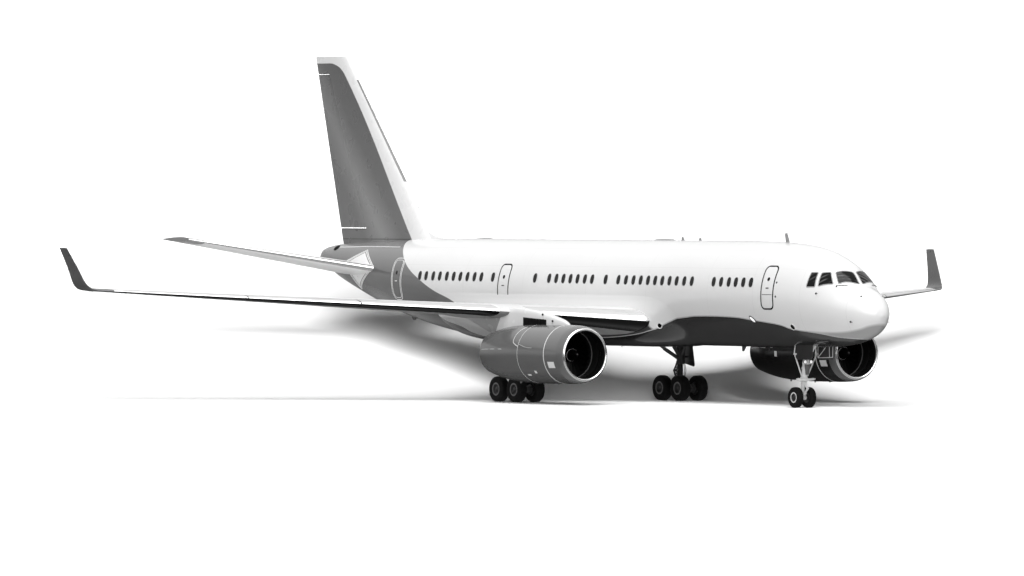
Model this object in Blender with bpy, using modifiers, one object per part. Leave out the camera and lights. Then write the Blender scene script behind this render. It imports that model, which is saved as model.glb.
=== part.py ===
"""A twin-engined airliner on its landing gear, as a half-size model.

Every length below is the full-size airliner's, in metres, and the finished objects are shrunk by
MODEL_SCALE at the end. Stations are measured aft from the nose tip, sides outward from the centre
plane and heights up from the ground. In the model +X is the port side, -Y the nose and +Z up.
"""

from math import cos, hypot, pi, radians, sin, sqrt

import bmesh
import bpy
from mathutils import Matrix, Vector

MODEL_SCALE = 0.5
LENGTH = 40.19
SPAN = 41.80
HEIGHT = 13.88
GAP = 0.0006          # between pieces that touch: 0.3 mm on the model
RUNNING_GAP = 0.012   # round a piece that moves: 6 mm on the model
SIDES = (("port", 1), ("starboard", -1))

WHITE = (0.90, 0.90, 0.91, 1)
GREY = (0.10, 0.10, 0.11, 1)
DARK = (0.02, 0.02, 0.022, 1)
ALLOY = (0.55, 0.56, 0.58, 1)
STEEL = (0.30, 0.31, 0.33, 1)
TYRE = (0.025, 0.025, 0.027, 1)

# Fuselage sections: station, half width, top, height of the widest line, bottom
FUSELAGE = (
    (0.00, 0.06, 3.66, 3.60, 3.54),
    (0.06, 0.24, 3.84, 3.61, 3.36),
    (0.18, 0.41, 4.03, 3.63, 3.20),
    (0.43, 0.63, 4.30, 3.67, 2.97),
    (0.71, 0.81, 4.50, 3.72, 2.81),
    (1.05, 0.97, 4.64, 3.77, 2.68),
    (1.42, 1.11, 4.80, 3.83, 2.58),
    (1.79, 1.23, 5.19, 3.89, 2.50),
    (2.57, 1.43, 5.68, 4.01, 2.41),
    (3.60, 1.62, 6.06, 4.14, 2.35),
    (4.76, 1.77, 6.26, 4.25, 2.33),
    (6.00, 1.86, 6.35, 4.33, 2.31),
    (7.50, 1.90, 6.40, 4.36, 2.31),
    (9.00, 1.90, 6.41, 4.36, 2.31),
    (16.5, 1.90, 6.41, 4.36, 2.31),
    (24.5, 1.90, 6.41, 4.36, 2.31),
    (27.0, 1.88, 6.41, 4.38, 2.44),
    (28.5, 1.84, 6.41, 4.44, 2.58),
    (30.4, 1.74, 6.40, 4.56, 2.84),
    (32.4, 1.57, 6.37, 4.74, 3.22),
    (34.4, 1.32, 6.33, 4.98, 3.71),
    (36.2, 1.05, 6.26, 5.22, 4.24),
    (37.6, 0.82, 6.18, 5.43, 4.69),
    (38.6, 0.57, 6.08, 5.57, 5.09),
    (39.15, 0.40, 5.98, 5.62, 5.28),
    (39.4, 0.26, 5.86, 5.61, 5.38),
)
SECTION_POINTS = 32
FUSELAGE_PARTS = (
    ("nose_radome", 0.0, 1.05, WHITE),
    ("forward_fuselage", 1.05, 9.0, WHITE),
    ("main_fuselage", 9.0, 37.6, WHITE),
    ("tail_cone", 37.6, FUSELAGE[-1][0], GREY),
)

# Belly fairing: its half outline from the top down (side, height), and how far it stands out at each station
FAIRING_SIDE = 2.05
FAIRING_OUTLINE = ((1.50, 3.98), (FAIRING_SIDE, 3.84), (FAIRING_SIDE, 2.84), (1.94, 2.54), (1.60, 2.32),
                   (1.05, 2.24), (0.52, 2.23), (0.0, 2.23))
FAIRING = ((11.3, 0.0), (12.0, 0.55), (12.8, 1.0), (22.3, 1.0), (24.6, 0.86), (26.8, 0.50), (28.7, 0.0))
FAIRING_SUNK = 0.06   # depth of the faded outline under the fuselage skin

# Passenger doors: name, station, width, sill, top, corner radius
DOORS = (
    ("door_front", 5.12, 0.70, 3.81, 5.45, 0.16),
    ("door_mid", 23.29, 0.74, 3.92, 5.40, 0.16),
    ("door_rear", 31.49, 0.66, 4.00, 5.52, 0.16),
)
DOOR_INNER_SIDE = 1.25

# Wing sections: side, leading-edge station, leading-edge height, chord, thickness share, trailing-edge drop
WING = (
    (2.05, 12.87, 3.26, 8.39, 0.130, 0.34),
    (7.40, 16.15, 3.66, 4.72, 0.106, 0.10),
    (20.30, 24.05, 4.38, 1.28, 0.095, 0.00),
)
FIN = (
    (5.60, 30.62, 0.0, 7.24, 0.100, 0.0),
    (HEIGHT, 37.80, 0.0, 2.39, 0.090, 0.0),
)
TAILPLANE = (
    (0.60, 32.98, 5.02, 4.90, 0.100, 0.0),
    (7.50, 38.02, 6.32, 2.10, 0.090, 0.0),
)
# Fillet ahead of the fin: station, half width at its foot and top, foot, top
DORSAL_FILLET = ((30.5, 0.03, 0.03, 6.30, 6.44), (31.35, 0.10, 0.06, 6.25, 6.60), (31.9, 0.14, 0.08, 6.20, 7.00))
CAMBER = 0.012
EDGE_THICKNESS = 0.014
SURFACE_SHARES = (1.0, 0.86, 0.72, 0.58, 0.44, 0.31, 0.20, 0.11, 0.05, 0.015)

# Slats and flaps: name, inner end, outer end, front and rear as shares of the chord
SLATS = (("inner_slat", 2.55, 5.95, 0.0, 0.105), ("outer_slat", 6.95, 19.75, 0.0, 0.130))
FLAPS = (("inner_flap", 2.25, 7.30, 0.790, 1.0), ("outer_flap", 7.50, 14.10, 0.735, 1.0))
# Hinged surfaces: name, inner end, outer end, hinge line as a share of the chord
AILERON = ("aileron", 14.35, 19.60, 0.760)
SPOILER = ("spoiler", 7.80, 13.80, 0.600, 0.725)
SPOILER_THICKNESS = 0.040
RUDDER = ("rudder", 6.75, 13.20, 0.690)
ELEVATOR = ("elevator", 1.55, 7.05, 0.700)
END_CLEARANCE = 0.045
PIN_RADIUS = 0.022

# Winglet sections: side, leading-edge station, height, chord, thickness, lean of the blade in degrees
WINGLET = (
    (WING[-1][0] + GAP, 24.053, 4.385, 1.275, 0.120, 90),
    (20.46, 24.22, 4.44, 1.14, 0.100, 62),
    (20.61, 24.48, 4.67, 0.96, 0.085, 30),
    (20.73, 24.87, 5.25, 0.76, 0.065, 13),
    (SPAN / 2, 25.42, 6.02, 0.54, 0.045, 12),
)
WINGLET_POINTS = ((1.0, 1), (0.6, 1), (0.3, 1), (0.08, 1), (0, 0), (0.08, -1), (0.3, -1), (0.6, -1), (1.0, -1))
WINGLET_EDGE = 0.006

ENGINE_SIDE = 6.442
ENGINE_HEIGHT = 1.992
ENGINE_STATION = 10.63
ENGINE_STEPS = 28
# Turned profiles: distance aft of the intake's front edge, radius
LIP_PROFILE = ((0.42, 1.118), (0.20, 1.085), (0.07, 1.042), (0.01, 1.002), (0.0, 0.978), (0.02, 0.945),
               (0.09, 0.905), (0.22, 0.882), (0.42, 0.874))
COWL_PROFILE = ((6.20, 0.820), (5.60, 0.950), (5.00, 1.045), (4.30, 1.105), (3.20, 1.140), (2.00, 1.145),
                (0.90, 1.138), (0.42 + GAP, 1.118), (0.42 + GAP, 0.874), (0.70, 0.895), (0.95, 0.935),
                (1.60, 0.940), (2.60, 0.900), (4.20, 0.860), (6.20, 0.790))
CORE_PROFILE = ((1.42, 0.0), (1.42, 0.30), (1.50, 0.42), (2.20, 0.56), (4.00, 0.52), (4.80, 0.42),
                (5.30, 0.26), (5.75, 0.07), (5.80, 0.0))
CORE_STRUT = (3.0, 0.07, 0.30, 0.95)   # distance aft, radius of the bar, its inner and outer ends
# What the duct's wall takes from the struts
DUCT_PROFILE = ((6.20, 1.3), (1.60, 1.3)) + tuple((distance, radius - GAP) for distance, radius in COWL_PROFILE[11:])
FAN_DEPTH = 1.20
FAN_HUB_PROFILE = ((0.52, 0.0), (0.56, 0.05), (0.70, 0.13), (0.90, 0.22), (1.08, 0.28), (1.42 - GAP, 0.28),
                   (1.42 - GAP, 0.0))
FAN_BLADES = 24
# Fan blade sections: radius, half chord, twist in degrees
FAN_BLADE = ((0.20, 0.130, 28), (0.58, 0.140, 44), (0.915, 0.150, 58))
FAN_BLADE_HALF_THICKNESS = 0.012
FAN_STEPS = 24
PYLON_HALF_THICKNESS = 0.19
PYLON_CLEAR = (6.90, 0.83)   # the pylon keeps clear of the jet: how far aft, and its radius
PYLON_OUTLINE = (
    (11.72, 3.12), (12.4, 3.36), (13.5, 3.60), (15.0, 3.78), (16.2, 3.84), (18.6, 3.50), (18.9, 3.30),
    (17.6, 2.90), (16.3, 2.60), (15.2, 2.20), (11.9, 2.20),
)

MAIN_GEAR_STATION = 19.217
MAIN_GEAR_SIDE = 3.91
BOGIE_BASE = 1.262
MAIN_WHEEL_RADIUS = 0.51
MAIN_WHEEL_SIDE = 0.42
MAIN_TYRE_WIDTH = 0.37
NOSE_GEAR_STATION = 5.282
NOSE_WHEEL_RADIUS = 0.405
NOSE_WHEEL_SIDE = 0.30
NOSE_TYRE_WIDTH = 0.24
WHEEL_STEPS = 20
HUB_SHARE = 0.20      # a wheel hub's radius over the tyre's
AXLE_SHARE = 0.45     # an axle's radius over the hub's
HUB_INSET = 0.01      # how far a hub stands in from its tyre's inner side

BOGIE_RADIUS = 0.10
BOGIE_OVERHANG = 0.12
BOGIE_BOSS_RADIUS = 0.13
MAIN_LEG_WAIST = 1.45
MAIN_LEG_TOP = 3.25   # inside the wing, which trims the leg
MAIN_LEG_RADIUS = 0.155
MAIN_LEG_FOOT = (0.12, 0.13, 0.16)   # half width, half length, height
# Its other round members, from the waist: name, start and end as (outward, aft, up), radius, steps
MAIN_LEG_RODS = (
    ("piston", (0, 0, -0.826), (0, 0, 0.10), 0.095, 16),
    ("side_brace", (0, 0, 0.25), (-1.05, 0, 1.80), 0.06, 12),
    ("drag_brace", (0, 0, 0.20), (0, -0.95, 1.80), 0.06, 12),
    ("link_upper", (0, 0.10, 0.10), (0, 0.36, -0.25), 0.035, 8),
    ("link_lower", (0, 0.36, -0.25), (0, 0.08, -0.726), 0.035, 8),
    ("door_bracket", (0, 0, 0.30), (0.30, 0, 0.30), 0.04, 8),
)
# Main gear door: inner and outer side from the leg, half length, lower and upper edge
MAIN_GEAR_DOOR = (0.30, 0.34, 0.42, 1.35, 2.78)

NOSE_LEG_AIM = (4.90, 2.62)   # station and height that the nose leg's axis passes through
NOSE_FORK_LENGTH = 0.95       # from the hub up the leg's axis
NOSE_FORK_RADIUS = 0.075
NOSE_FORK_BOSS_RADIUS = 0.09
NOSE_LEG_RADIUS = 0.12
NOSE_LEG_WAIST = 0.30         # up the axis from the fork's top
NOSE_LEG_HEAD = (0.40, 0.15, 0.14)        # half width, half length, depth
NOSE_BRACE = (0.36, 0.035)                # side of its upper end, radius
NOSE_DRAG_BRACE = (0.75, 0.05)            # how far ahead its upper end is, radius
LAMP_BAR = (0.20, 0.10, 0.10, 0.03)       # half length, ahead of and above the waist, radius
TOW_LUG = ((-0.05, -0.22, 0.10), (0.05, 0.0, 0.22))   # its two corners from the hub

JACK_RADIUS = 0.08
JACK_STATION = 7.60
JACK_HEIGHT = 2.28
JACK_REACH = 0.25     # how far a jack pad runs up into the skin
WING_JACK_STATION = 17.6
WING_JACK_SIDE = 5.0
WING_JACK_HEIGHT = 3.06

NOSE_BAY = (3.80, 5.45, 0.46, 2.85)   # front station, rear station, half width, roof height
NOSE_DOOR = (3.86, 4.98, 0.50, 1.86, 2.60)   # front station, rear station, side, lower edge, upper edge
NOSE_DOOR_THICKNESS = 0.035
NOSE_DOOR_CORNERS = (0.12, 0.10)             # cut off its lower front and rear corners

for old in list(bpy.data.objects):
    bpy.data.objects.remove(old, do_unlink=True)

parts = bpy.data.collections.new("airliner")
helpers = bpy.data.collections.new("airliner_cutters")
for collection in (parts, helpers):
    bpy.context.scene.collection.children.link(collection)


def place(station, side, height):
    """The point of the model's frame, still at full size."""
    return Vector((side, station - LENGTH / 2, height))


def material(name, colour, roughness=0.4, metallic=0.0):
    made = bpy.data.materials.new(name)
    made.use_nodes = True
    shader = made.node_tree.nodes["Principled BSDF"]
    shader.inputs["Base Color"].default_value = colour
    shader.inputs["Roughness"].default_value = roughness
    shader.inputs["Metallic"].default_value = metallic
    made.diffuse_color = colour
    return made


def from_bmesh(name, mesh, helper=False):
    """A new object from a closed bmesh, its faces turned outwards."""
    bmesh.ops.recalc_face_normals(mesh, faces=mesh.faces)
    if mesh.calc_volume(signed=True) < 0:
        bmesh.ops.reverse_faces(mesh, faces=mesh.faces)
    data = bpy.data.meshes.new(name)
    mesh.to_mesh(data)
    mesh.free()
    made = bpy.data.objects.new(name, data)
    (helpers if helper else parts).objects.link(made)
    if helper:
        made.hide_render = True
        made.display_type = "WIRE"
    return made


def loft(name, rings, helper=False):
    """A closed solid through rings of points that all have the same count, capped at both ends."""
    mesh = bmesh.new()
    rows = [[mesh.verts.new(point) for point in ring] for ring in rings]
    for near, far in zip(rows, rows[1:]):
        for index in range(len(near)):
            after = (index + 1) % len(near)
            mesh.faces.new((near[index], near[after], far[after]))
            mesh.faces.new((near[index], far[after], far[index]))
    mesh.faces.new(rows[0])
    mesh.faces.new(rows[-1])
    return from_bmesh(name, mesh, helper)


def prism(name, outline, axis, low, high, helper=True):
    """A flat outline carried from low to high along an axis; the outline holds the other two coordinates."""
    def point(pair, level):
        values = list(pair)
        values.insert(axis, level)
        return Vector(values)
    return loft(name, [[point(pair, level) for pair in outline] for level in (low, high)], helper)


def turned(name, profile, centre, direction, steps, helper=False):
    """A profile of (distance, radius) turned about the line through centre along direction."""
    data = bpy.data.meshes.new(name)
    closed = profile[0][1] > 0
    points = [(radius, 0, distance) for distance, radius in profile]
    edges = [(index, index + 1) for index in range(len(points) - 1)]
    if closed:
        edges.append((len(points) - 1, 0))
    data.from_pydata(points, edges, [])
    guide = bpy.data.objects.new(name + "_profile", data)
    helpers.objects.link(guide)
    screw = guide.modifiers.new("turn", "SCREW")
    screw.axis = "Z"
    screw.angle = 2 * pi
    screw.steps = steps
    screw.render_steps = steps
    screw.use_merge_vertices = True
    screw.merge_threshold = 0.00001
    graph = bpy.context.evaluated_depsgraph_get()
    mesh = bmesh.new()
    mesh.from_mesh(bpy.data.meshes.new_from_object(guide.evaluated_get(graph)))
    bpy.data.objects.remove(guide, do_unlink=True)
    bmesh.ops.remove_doubles(mesh, verts=mesh.verts, dist=0.00001)
    turn = Vector((0, 0, 1)).rotation_difference(Vector(direction)).to_matrix().to_4x4()
    mesh.transform(Matrix.Translation(centre) @ turn)
    return from_bmesh(name, mesh, helper)


def rod(name, start, end, radius, steps=12, helper=True):
    """A round bar between two points."""
    along = end - start
    mesh = bmesh.new()
    bmesh.ops.create_cone(mesh, cap_ends=True, segments=steps, radius1=radius, radius2=radius, depth=along.length)
    turn = Vector((0, 0, 1)).rotation_difference(along).to_matrix().to_4x4()
    mesh.transform(Matrix.Translation((start + end) / 2) @ turn)
    return from_bmesh(name, mesh, helper)


def block(name, low, high, helper=True):
    """A box between two corners."""
    mesh = bmesh.new()
    bmesh.ops.create_cube(mesh, size=1)
    size = [abs(b - a) for a, b in zip(low, high)]
    mesh.transform(Matrix.Translation((low + high) / 2) @ Matrix.Diagonal((*size, 1)))
    return from_bmesh(name, mesh, helper)


def boolean(target, others, operation):
    for other in others:
        step = target.modifiers.new(other.name, "BOOLEAN")
        step.operation = operation
        step.solver = "EXACT"
        step.object = other


def cut(target, *cutters):
    boolean(target, cutters, "DIFFERENCE")


def join(target, *others):
    boolean(target, others, "UNION")


def paint(made, colour, roughness=0.4, metallic=0.0):
    made.data.materials.clear()
    made.data.materials.append(material(made.name, colour, roughness, metallic))
    return made


def blend(rows, value):
    """The columns of a table at a value of its first column, by straight lines between its rows."""
    for low, high in zip(rows, rows[1:]):
        if value <= high[0] or high is rows[-1]:
            share = (value - low[0]) / (high[0] - low[0])
            return [a + (b - a) * share for a, b in zip(low, high)]


def fuselage_ring(row, grow=0.0):
    station, half_width, top, widest, bottom = row
    ring = []
    for index in range(SECTION_POINTS):
        angle = 2 * pi * index / SECTION_POINTS
        rise = (top - widest if sin(angle) > 0 else widest - bottom) + grow
        ring.append(place(station, (half_width + grow) * cos(angle), widest + rise * sin(angle)))
    return ring


def fuselage_span(name, front, rear, grow=0.0, helper=False):
    """The fuselage between two stations, which are cut square."""
    rows = [blend(FUSELAGE, front)]
    rows += [row for row in FUSELAGE if front + 0.01 < row[0] < rear - 0.01]
    rows.append(blend(FUSELAGE, rear))
    return loft(name, [fuselage_ring(row, grow) for row in rows], helper)


def foil_thickness(share):
    return 5 * (0.2969 * sqrt(share) - 0.1260 * share - 0.3516 * share**2 + 0.2843 * share**3
                - 0.1036 * share**4)


def foil_point(foil, span, share, surface, grow=0.0):
    """(station, offset) on a section: surface is 1 above, -1 below and 0 on the mean line."""
    _, front, offset, chord, thickness, drop = blend(foil, span)
    mean = offset - drop * share + 4 * CAMBER * chord * share * (1 - share) * (foil is WING)
    half = chord * thickness * foil_thickness(share) + EDGE_THICKNESS / 2 * share + grow
    return front + chord * share + grow * (share > 0.99) - grow * (share == 0), mean + surface * half * (share > 0)


def foil_place(foil, side):
    """The function that puts (span, station, offset) into the frame."""
    if foil is FIN:
        return lambda span, station, offset: place(station, offset, span)
    return lambda span, station, offset: place(station, side * span, offset)


def foil_ring(foil, side, span, front=0.0, rear=1.0, grow=0.0):
    """One section between two shares of the chord."""
    put = foil_place(foil, side)
    shares = [rear] + [share for share in SURFACE_SHARES if front + 0.01 < share < rear - 0.01]
    ring = [put(span, *foil_point(foil, span, share, 1, grow)) for share in shares]
    if front > 0:
        ring += [put(span, *foil_point(foil, span, front, surface, grow)) for surface in (1, -1)]
    else:
        ring.append(put(span, *foil_point(foil, span, 0, 0, grow)))
    return ring + [put(span, *foil_point(foil, span, share, -1, grow)) for share in reversed(shares)]


def spans_between(foil, low, high):
    return [low] + [row[0] for row in foil if low + 0.01 < row[0] < high - 0.01] + [high]


def foil_solid(name, foil, side, low, high, grow=0.0, helper=False):
    spans = spans_between(foil, low, high)
    return loft(name, [foil_ring(foil, side, span, grow=grow) for span in spans], helper)


def hinge_point(foil, span, share):
    """(station, offset, half thickness) on a control surface's hinge line."""
    station, upper = foil_point(foil, span, share, 1)
    _, lower = foil_point(foil, span, share, -1)
    return station, (upper + lower) / 2, (upper - lower) / 2


def control_ring(foil, side, span, share):
    """A control surface's section: a round nose about the hinge line, then the foil to its rear edge."""
    put = foil_place(foil, side)
    station, middle, radius = hinge_point(foil, span, share)
    shares = [1.0] + [step for step in SURFACE_SHARES if share + 0.02 < step < 0.99] + [share]
    ring = [put(span, *foil_point(foil, span, step, 1)) for step in shares]
    for angle in (55, 20, -20, -55):
        nose = radius * 0.97
        ring.append(put(span, station - nose * cos(radians(angle)), middle + nose * sin(radians(angle))))
    return ring + [put(span, *foil_point(foil, span, step, -1)) for step in reversed(shares)]


def planform_cutter(name, foil, side, line, reach):
    """A block through the whole thickness, behind a line of (span, station) or, with a negative reach, ahead."""
    corners = line + [(span, station + reach) for span, station in reversed(line)]
    put = foil_place(foil, side)
    rings = [[put(span, station, level) for span, station in corners] for level in (-9.0, 20.0)]
    return loft(name, rings, helper=True)


def control_surface(row, foil, side, suffix, colour):
    """A hinged surface with its two end pins, and the cutter that leaves room for it."""
    name, low, high, share = row
    low_end = low + END_CLEARANCE
    high_end = high - END_CLEARANCE
    made = loft(name + suffix, [control_ring(foil, side, span, share) for span in (low_end, high_end)])
    put = foil_place(foil, side)
    ends = [Vector(put(span, *hinge_point(foil, span, share)[:2])) for span in (low_end, high_end)]
    along = (ends[1] - ends[0]).normalized()
    out = foil_place(foil, side)(1, 0, 0) - foil_place(foil, side)(0, 0, 0)
    lean = sqrt(1 - along.dot(out) ** 2)
    reach = (END_CLEARANCE - GAP - PIN_RADIUS * lean) / along.dot(out)
    pins = [
        rod(f"{made.name}_pin_{index}", end - direction * 0.12, end + direction * reach, PIN_RADIUS)
        for index, (end, direction) in enumerate(zip(ends, (-along, along)))
    ]
    join(made, *pins)
    line = []
    for span in (low, high):
        station, _, radius = hinge_point(foil, span, share)
        line.append((span, station - radius - RUNNING_GAP))
    cutter = planform_cutter(made.name + "_cutter", foil, side, line, 4.0)
    paint(made, colour)
    # The pivot lies on the hinge line, at its inner end.
    made.data.transform(Matrix.Translation(-ends[0]))
    made.location = ends[0]
    return made, cutter


def build_fuselage():
    for name, front, rear, colour in FUSELAGE_PARTS:
        made = fuselage_span(name, front + GAP / 2 * (front > 0), rear - GAP / 2 * (rear < FUSELAGE[-1][0]))
        paint(made, colour, 0.25)
    bay_front, bay_rear, bay_side, bay_roof = NOSE_BAY
    bay = block("nose_bay_cutter", place(bay_front, -bay_side, 1.5), place(bay_rear, bay_side, bay_roof))
    forward = bpy.data.objects["forward_fuselage"]
    cut(forward, bay)
    pad = place(JACK_STATION, 0, JACK_HEIGHT)
    join(forward, rod("nose_jack_pad", pad, pad + Vector((0, 0, JACK_REACH)), JACK_RADIUS, 16))


def rounded_outline(station, width, low, high, radius):
    """(y, z) points of a door's outline, with round corners."""
    outline = []
    middle = station - LENGTH / 2
    for corner, (across, level) in enumerate(((1, 1), (-1, 1), (-1, -1), (1, -1))):
        centre = middle + across * (width / 2 - radius), (high - radius if level > 0 else low + radius)
        for step in range(3):
            angle = radians(90 * corner + 45 * step)
            outline.append((centre[0] + radius * cos(angle), centre[1] + radius * sin(angle)))
    return outline


def build_doors():
    for name, station, width, low, high, radius in DOORS:
        skin_name = "forward_fuselage" if station < FUSELAGE_PARTS[1][2] else "main_fuselage"
        skin = bpy.data.objects[skin_name]
        for side_name, side in SIDES:
            outline = rounded_outline(station, width - 2 * GAP, low + GAP, high - GAP, radius)
            ends = sorted((side * (DOOR_INNER_SIDE + GAP), side * 2.4))
            door = prism(f"{name}_{side_name}", outline, 0, *ends, helper=False)
            body = fuselage_span(door.name + "_skin", station - 1, station + 1, helper=True)
            boolean(door, [body], "INTERSECT")
            paint(door, WHITE, 0.25)
            outline = rounded_outline(station, width, low, high, radius)
            pocket = prism(door.name + "_pocket", outline, 0, *sorted((side * DOOR_INNER_SIDE, side * 2.4)))
            cut(skin, pocket)


def build_fairing():
    rings = []
    for station, stand in FAIRING:
        _, half_width, _, widest, bottom = blend(FUSELAGE, station)
        half = []
        for side, height in FAIRING_OUTLINE:
            reach = hypot(side / (half_width - FAIRING_SUNK), (height - widest) / (widest - bottom - FAIRING_SUNK))
            sunk = side / reach, widest + (height - widest) / reach
            half.append([faded + (full - faded) * stand for faded, full in zip(sunk, (side, height))])
        ring = [place(station, side, height) for side, height in half]
        ring += [place(station, -side, height) for side, height in reversed(half[:-1])]
        rings.append(ring)
    made = loft("wing_body_fairing", rings)
    cut(made, fuselage_span("fairing_fuselage_cutter", 9.5, 30.4, GAP, helper=True))
    paint(made, GREY, 0.35)


def build_wings():
    root, tip = FAIRING_SIDE + GAP, WING[-1][0]
    for side_name, side in SIDES:
        suffix = "_" + side_name
        wing = foil_solid("wing" + suffix, WING, side, root, tip)
        foil_solid("wing_cutter" + suffix, WING, side, root, tip, GAP, helper=True)
        paint(wing, ALLOY, 0.3)
        cutters = []
        for name, low, high, front, rear in SLATS + FLAPS:
            spans = spans_between(WING, low, high)
            made = loft(name + suffix, [foil_ring(WING, side, span, front, rear) for span in spans])
            paint(made, ALLOY, 0.25, 0.5)
            ahead = front == 0
            share, step, reach = (rear, GAP, -4.0) if ahead else (front, -GAP, 6.0)
            line = [(span, foil_point(WING, span, share, 0)[0] + step)
                    for span in spans_between(WING, low - GAP, high + GAP)]
            cutters.append(planform_cutter(made.name + "_cutter", WING, side, line, reach))
        _, cutter = control_surface(AILERON, WING, side, suffix, ALLOY)
        cutters.append(cutter)
        cutters.append(build_spoiler(side, suffix))
        cut(wing, *cutters)
        pad = place(WING_JACK_STATION, side * WING_JACK_SIDE, WING_JACK_HEIGHT)
        join(wing, rod(wing.name + "_jack_pad", pad, pad + Vector((0, 0, JACK_REACH)), JACK_RADIUS, 16))


def spoiler_ring(side, span, front, rear, depth, above):
    """Four corners of a spoiler's section, or of its recess when above is greater than zero."""
    ring = []
    for share, inner in ((front, 0.0), (rear, 0.0), (rear, 1.0), (front, 1.0)):
        station, height = foil_point(WING, span, share, 1)
        ring.append(place(station, side * span, height + above if inner == 0.0 else height - depth))
    return ring


def build_spoiler(side, suffix):
    """The spoiler lies in a recess of the wing's upper skin and turns up about its front edge."""
    name, low, high, front, rear = SPOILER
    clear = END_CLEARANCE / 2
    ends = low + clear, high - clear
    made = loft(name + suffix, [spoiler_ring(side, span, front, rear, SPOILER_THICKNESS, 0.0) for span in ends])
    paint(made, ALLOY)
    recess = []
    for span in (low, high):
        chord = blend(WING, span)[3]
        wide = (front - GAP / chord, rear + RUNNING_GAP / chord)
        recess.append(spoiler_ring(side, span, *wide, SPOILER_THICKNESS + RUNNING_GAP, 0.6))
    cutter = loft(made.name + "_cutter", recess, helper=True)
    hinge = place(foil_point(WING, ends[0], front, 1)[0], side * ends[0], foil_point(WING, ends[0], front, 1)[1])
    made.data.transform(Matrix.Translation(-hinge))
    made.location = hinge
    return cutter


def build_winglets():
    for side_name, side in SIDES:
        rings = []
        for across, station, height, chord, thickness, degrees in WINGLET:
            lean = radians(degrees)
            ring = []
            for share, surface in WINGLET_POINTS:
                half = thickness * foil_thickness(share) + WINGLET_EDGE * (share > 0)
                ring.append(place(station + chord * share, side * (across - surface * half * cos(lean)),
                                  height + surface * half * sin(lean)))
            rings.append(ring)
        paint(loft("winglet_" + side_name, rings), GREY)


def build_tail():
    body = fuselage_span("tail_fuselage_cutter", 28.5, FUSELAGE[-1][0], GAP, helper=True)
    fin = foil_solid("fin", FIN, 1, FIN[0][0], FIN[-1][0])
    paint(fin, GREY, 0.3)
    dorsal = loft("dorsal_fillet", [
        [place(station, -foot_side, foot), place(station, foot_side, foot),
         place(station, top_side, top), place(station, -top_side, top)]
        for station, foot_side, top_side, foot, top in DORSAL_FILLET
    ], helper=True)
    _, rudder_cutter = control_surface(RUDDER, FIN, 1, "", GREY)
    join(fin, dorsal)
    cut(fin, body, rudder_cutter)
    for side_name, side in SIDES:
        suffix = "_" + side_name
        tailplane = foil_solid("tailplane" + suffix, TAILPLANE, side, TAILPLANE[0][0], TAILPLANE[-1][0])
        paint(tailplane, WHITE, 0.3)
        _, cutter = control_surface(ELEVATOR, TAILPLANE, side, suffix, WHITE)
        cut(tailplane, body, cutter)


def engine_point(side, distance, across=0.0, rise=0.0):
    return place(ENGINE_STATION + distance, side * ENGINE_SIDE + across, ENGINE_HEIGHT + rise)


def build_fan(name, side):
    """The spinner, its hub and the ring of twisted blades."""
    centre = engine_point(side, 0.0)
    made = turned(name, FAN_HUB_PROFILE, centre, (0, 1, 0), FAN_STEPS)
    blades = bmesh.new()
    for index in range(FAN_BLADES):
        turn = Matrix.Rotation(2 * pi * index / FAN_BLADES, 4, "Y")
        rows = []
        for radius, half_chord, twist in FAN_BLADE:
            ring = []
            for along, across in ((-half_chord, 0), (0, FAN_BLADE_HALF_THICKNESS), (half_chord, 0),
                                  (0, -FAN_BLADE_HALF_THICKNESS)):
                lean = radians(twist)
                offset = Vector((along * sin(lean) + across * cos(lean),
                                 FAN_DEPTH + along * cos(lean) - across * sin(lean), radius))
                ring.append(blades.verts.new(turn @ offset))
            rows.append(ring)
        for near, far in zip(rows, rows[1:]):
            for corner in range(4):
                after = (corner + 1) % 4
                blades.faces.new((near[corner], near[after], far[after], far[corner]))
        blades.faces.new(rows[0])
        blades.faces.new(rows[-1])
    blades.transform(Matrix.Translation(centre))
    join(made, from_bmesh(name + "_blades", blades, helper=True))
    made.data.transform(Matrix.Translation(-centre))
    made.location = centre
    bpy.data.objects[name + "_blades"].location = Vector((0, 0, 0))
    paint(made, STEEL, 0.3, 0.8)


def build_engines():
    for side_name, side in SIDES:
        centre = engine_point(side, 0.0)
        lip = turned("intake_lip_" + side_name, LIP_PROFILE, centre, (0, 1, 0), ENGINE_STEPS)
        paint(lip, ALLOY, 0.12, 1.0)
        cowl = turned("nacelle_cowl_" + side_name, COWL_PROFILE, centre, (0, 1, 0), ENGINE_STEPS)
        paint(cowl, GREY, 0.3)
        core = turned("engine_core_" + side_name, CORE_PROFILE, centre, (0, 1, 0), ENGINE_STEPS)
        distance, radius, inner, outer = CORE_STRUT
        base = engine_point(side, distance)
        for index, angle in enumerate((0, 90, 180, 270)):
            out = Vector((cos(radians(angle)), 0, sin(radians(angle))))
            join(core, rod(f"{core.name}_strut_{index}", base + out * inner, base + out * outer, radius, 8))
        cut(core, turned(core.name + "_duct_cutter", DUCT_PROFILE, centre, (0, 1, 0), ENGINE_STEPS, helper=True))
        paint(core, STEEL, 0.4, 0.9)
        build_fan("fan_" + side_name, side)
        build_pylon(side_name, side, centre)


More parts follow.
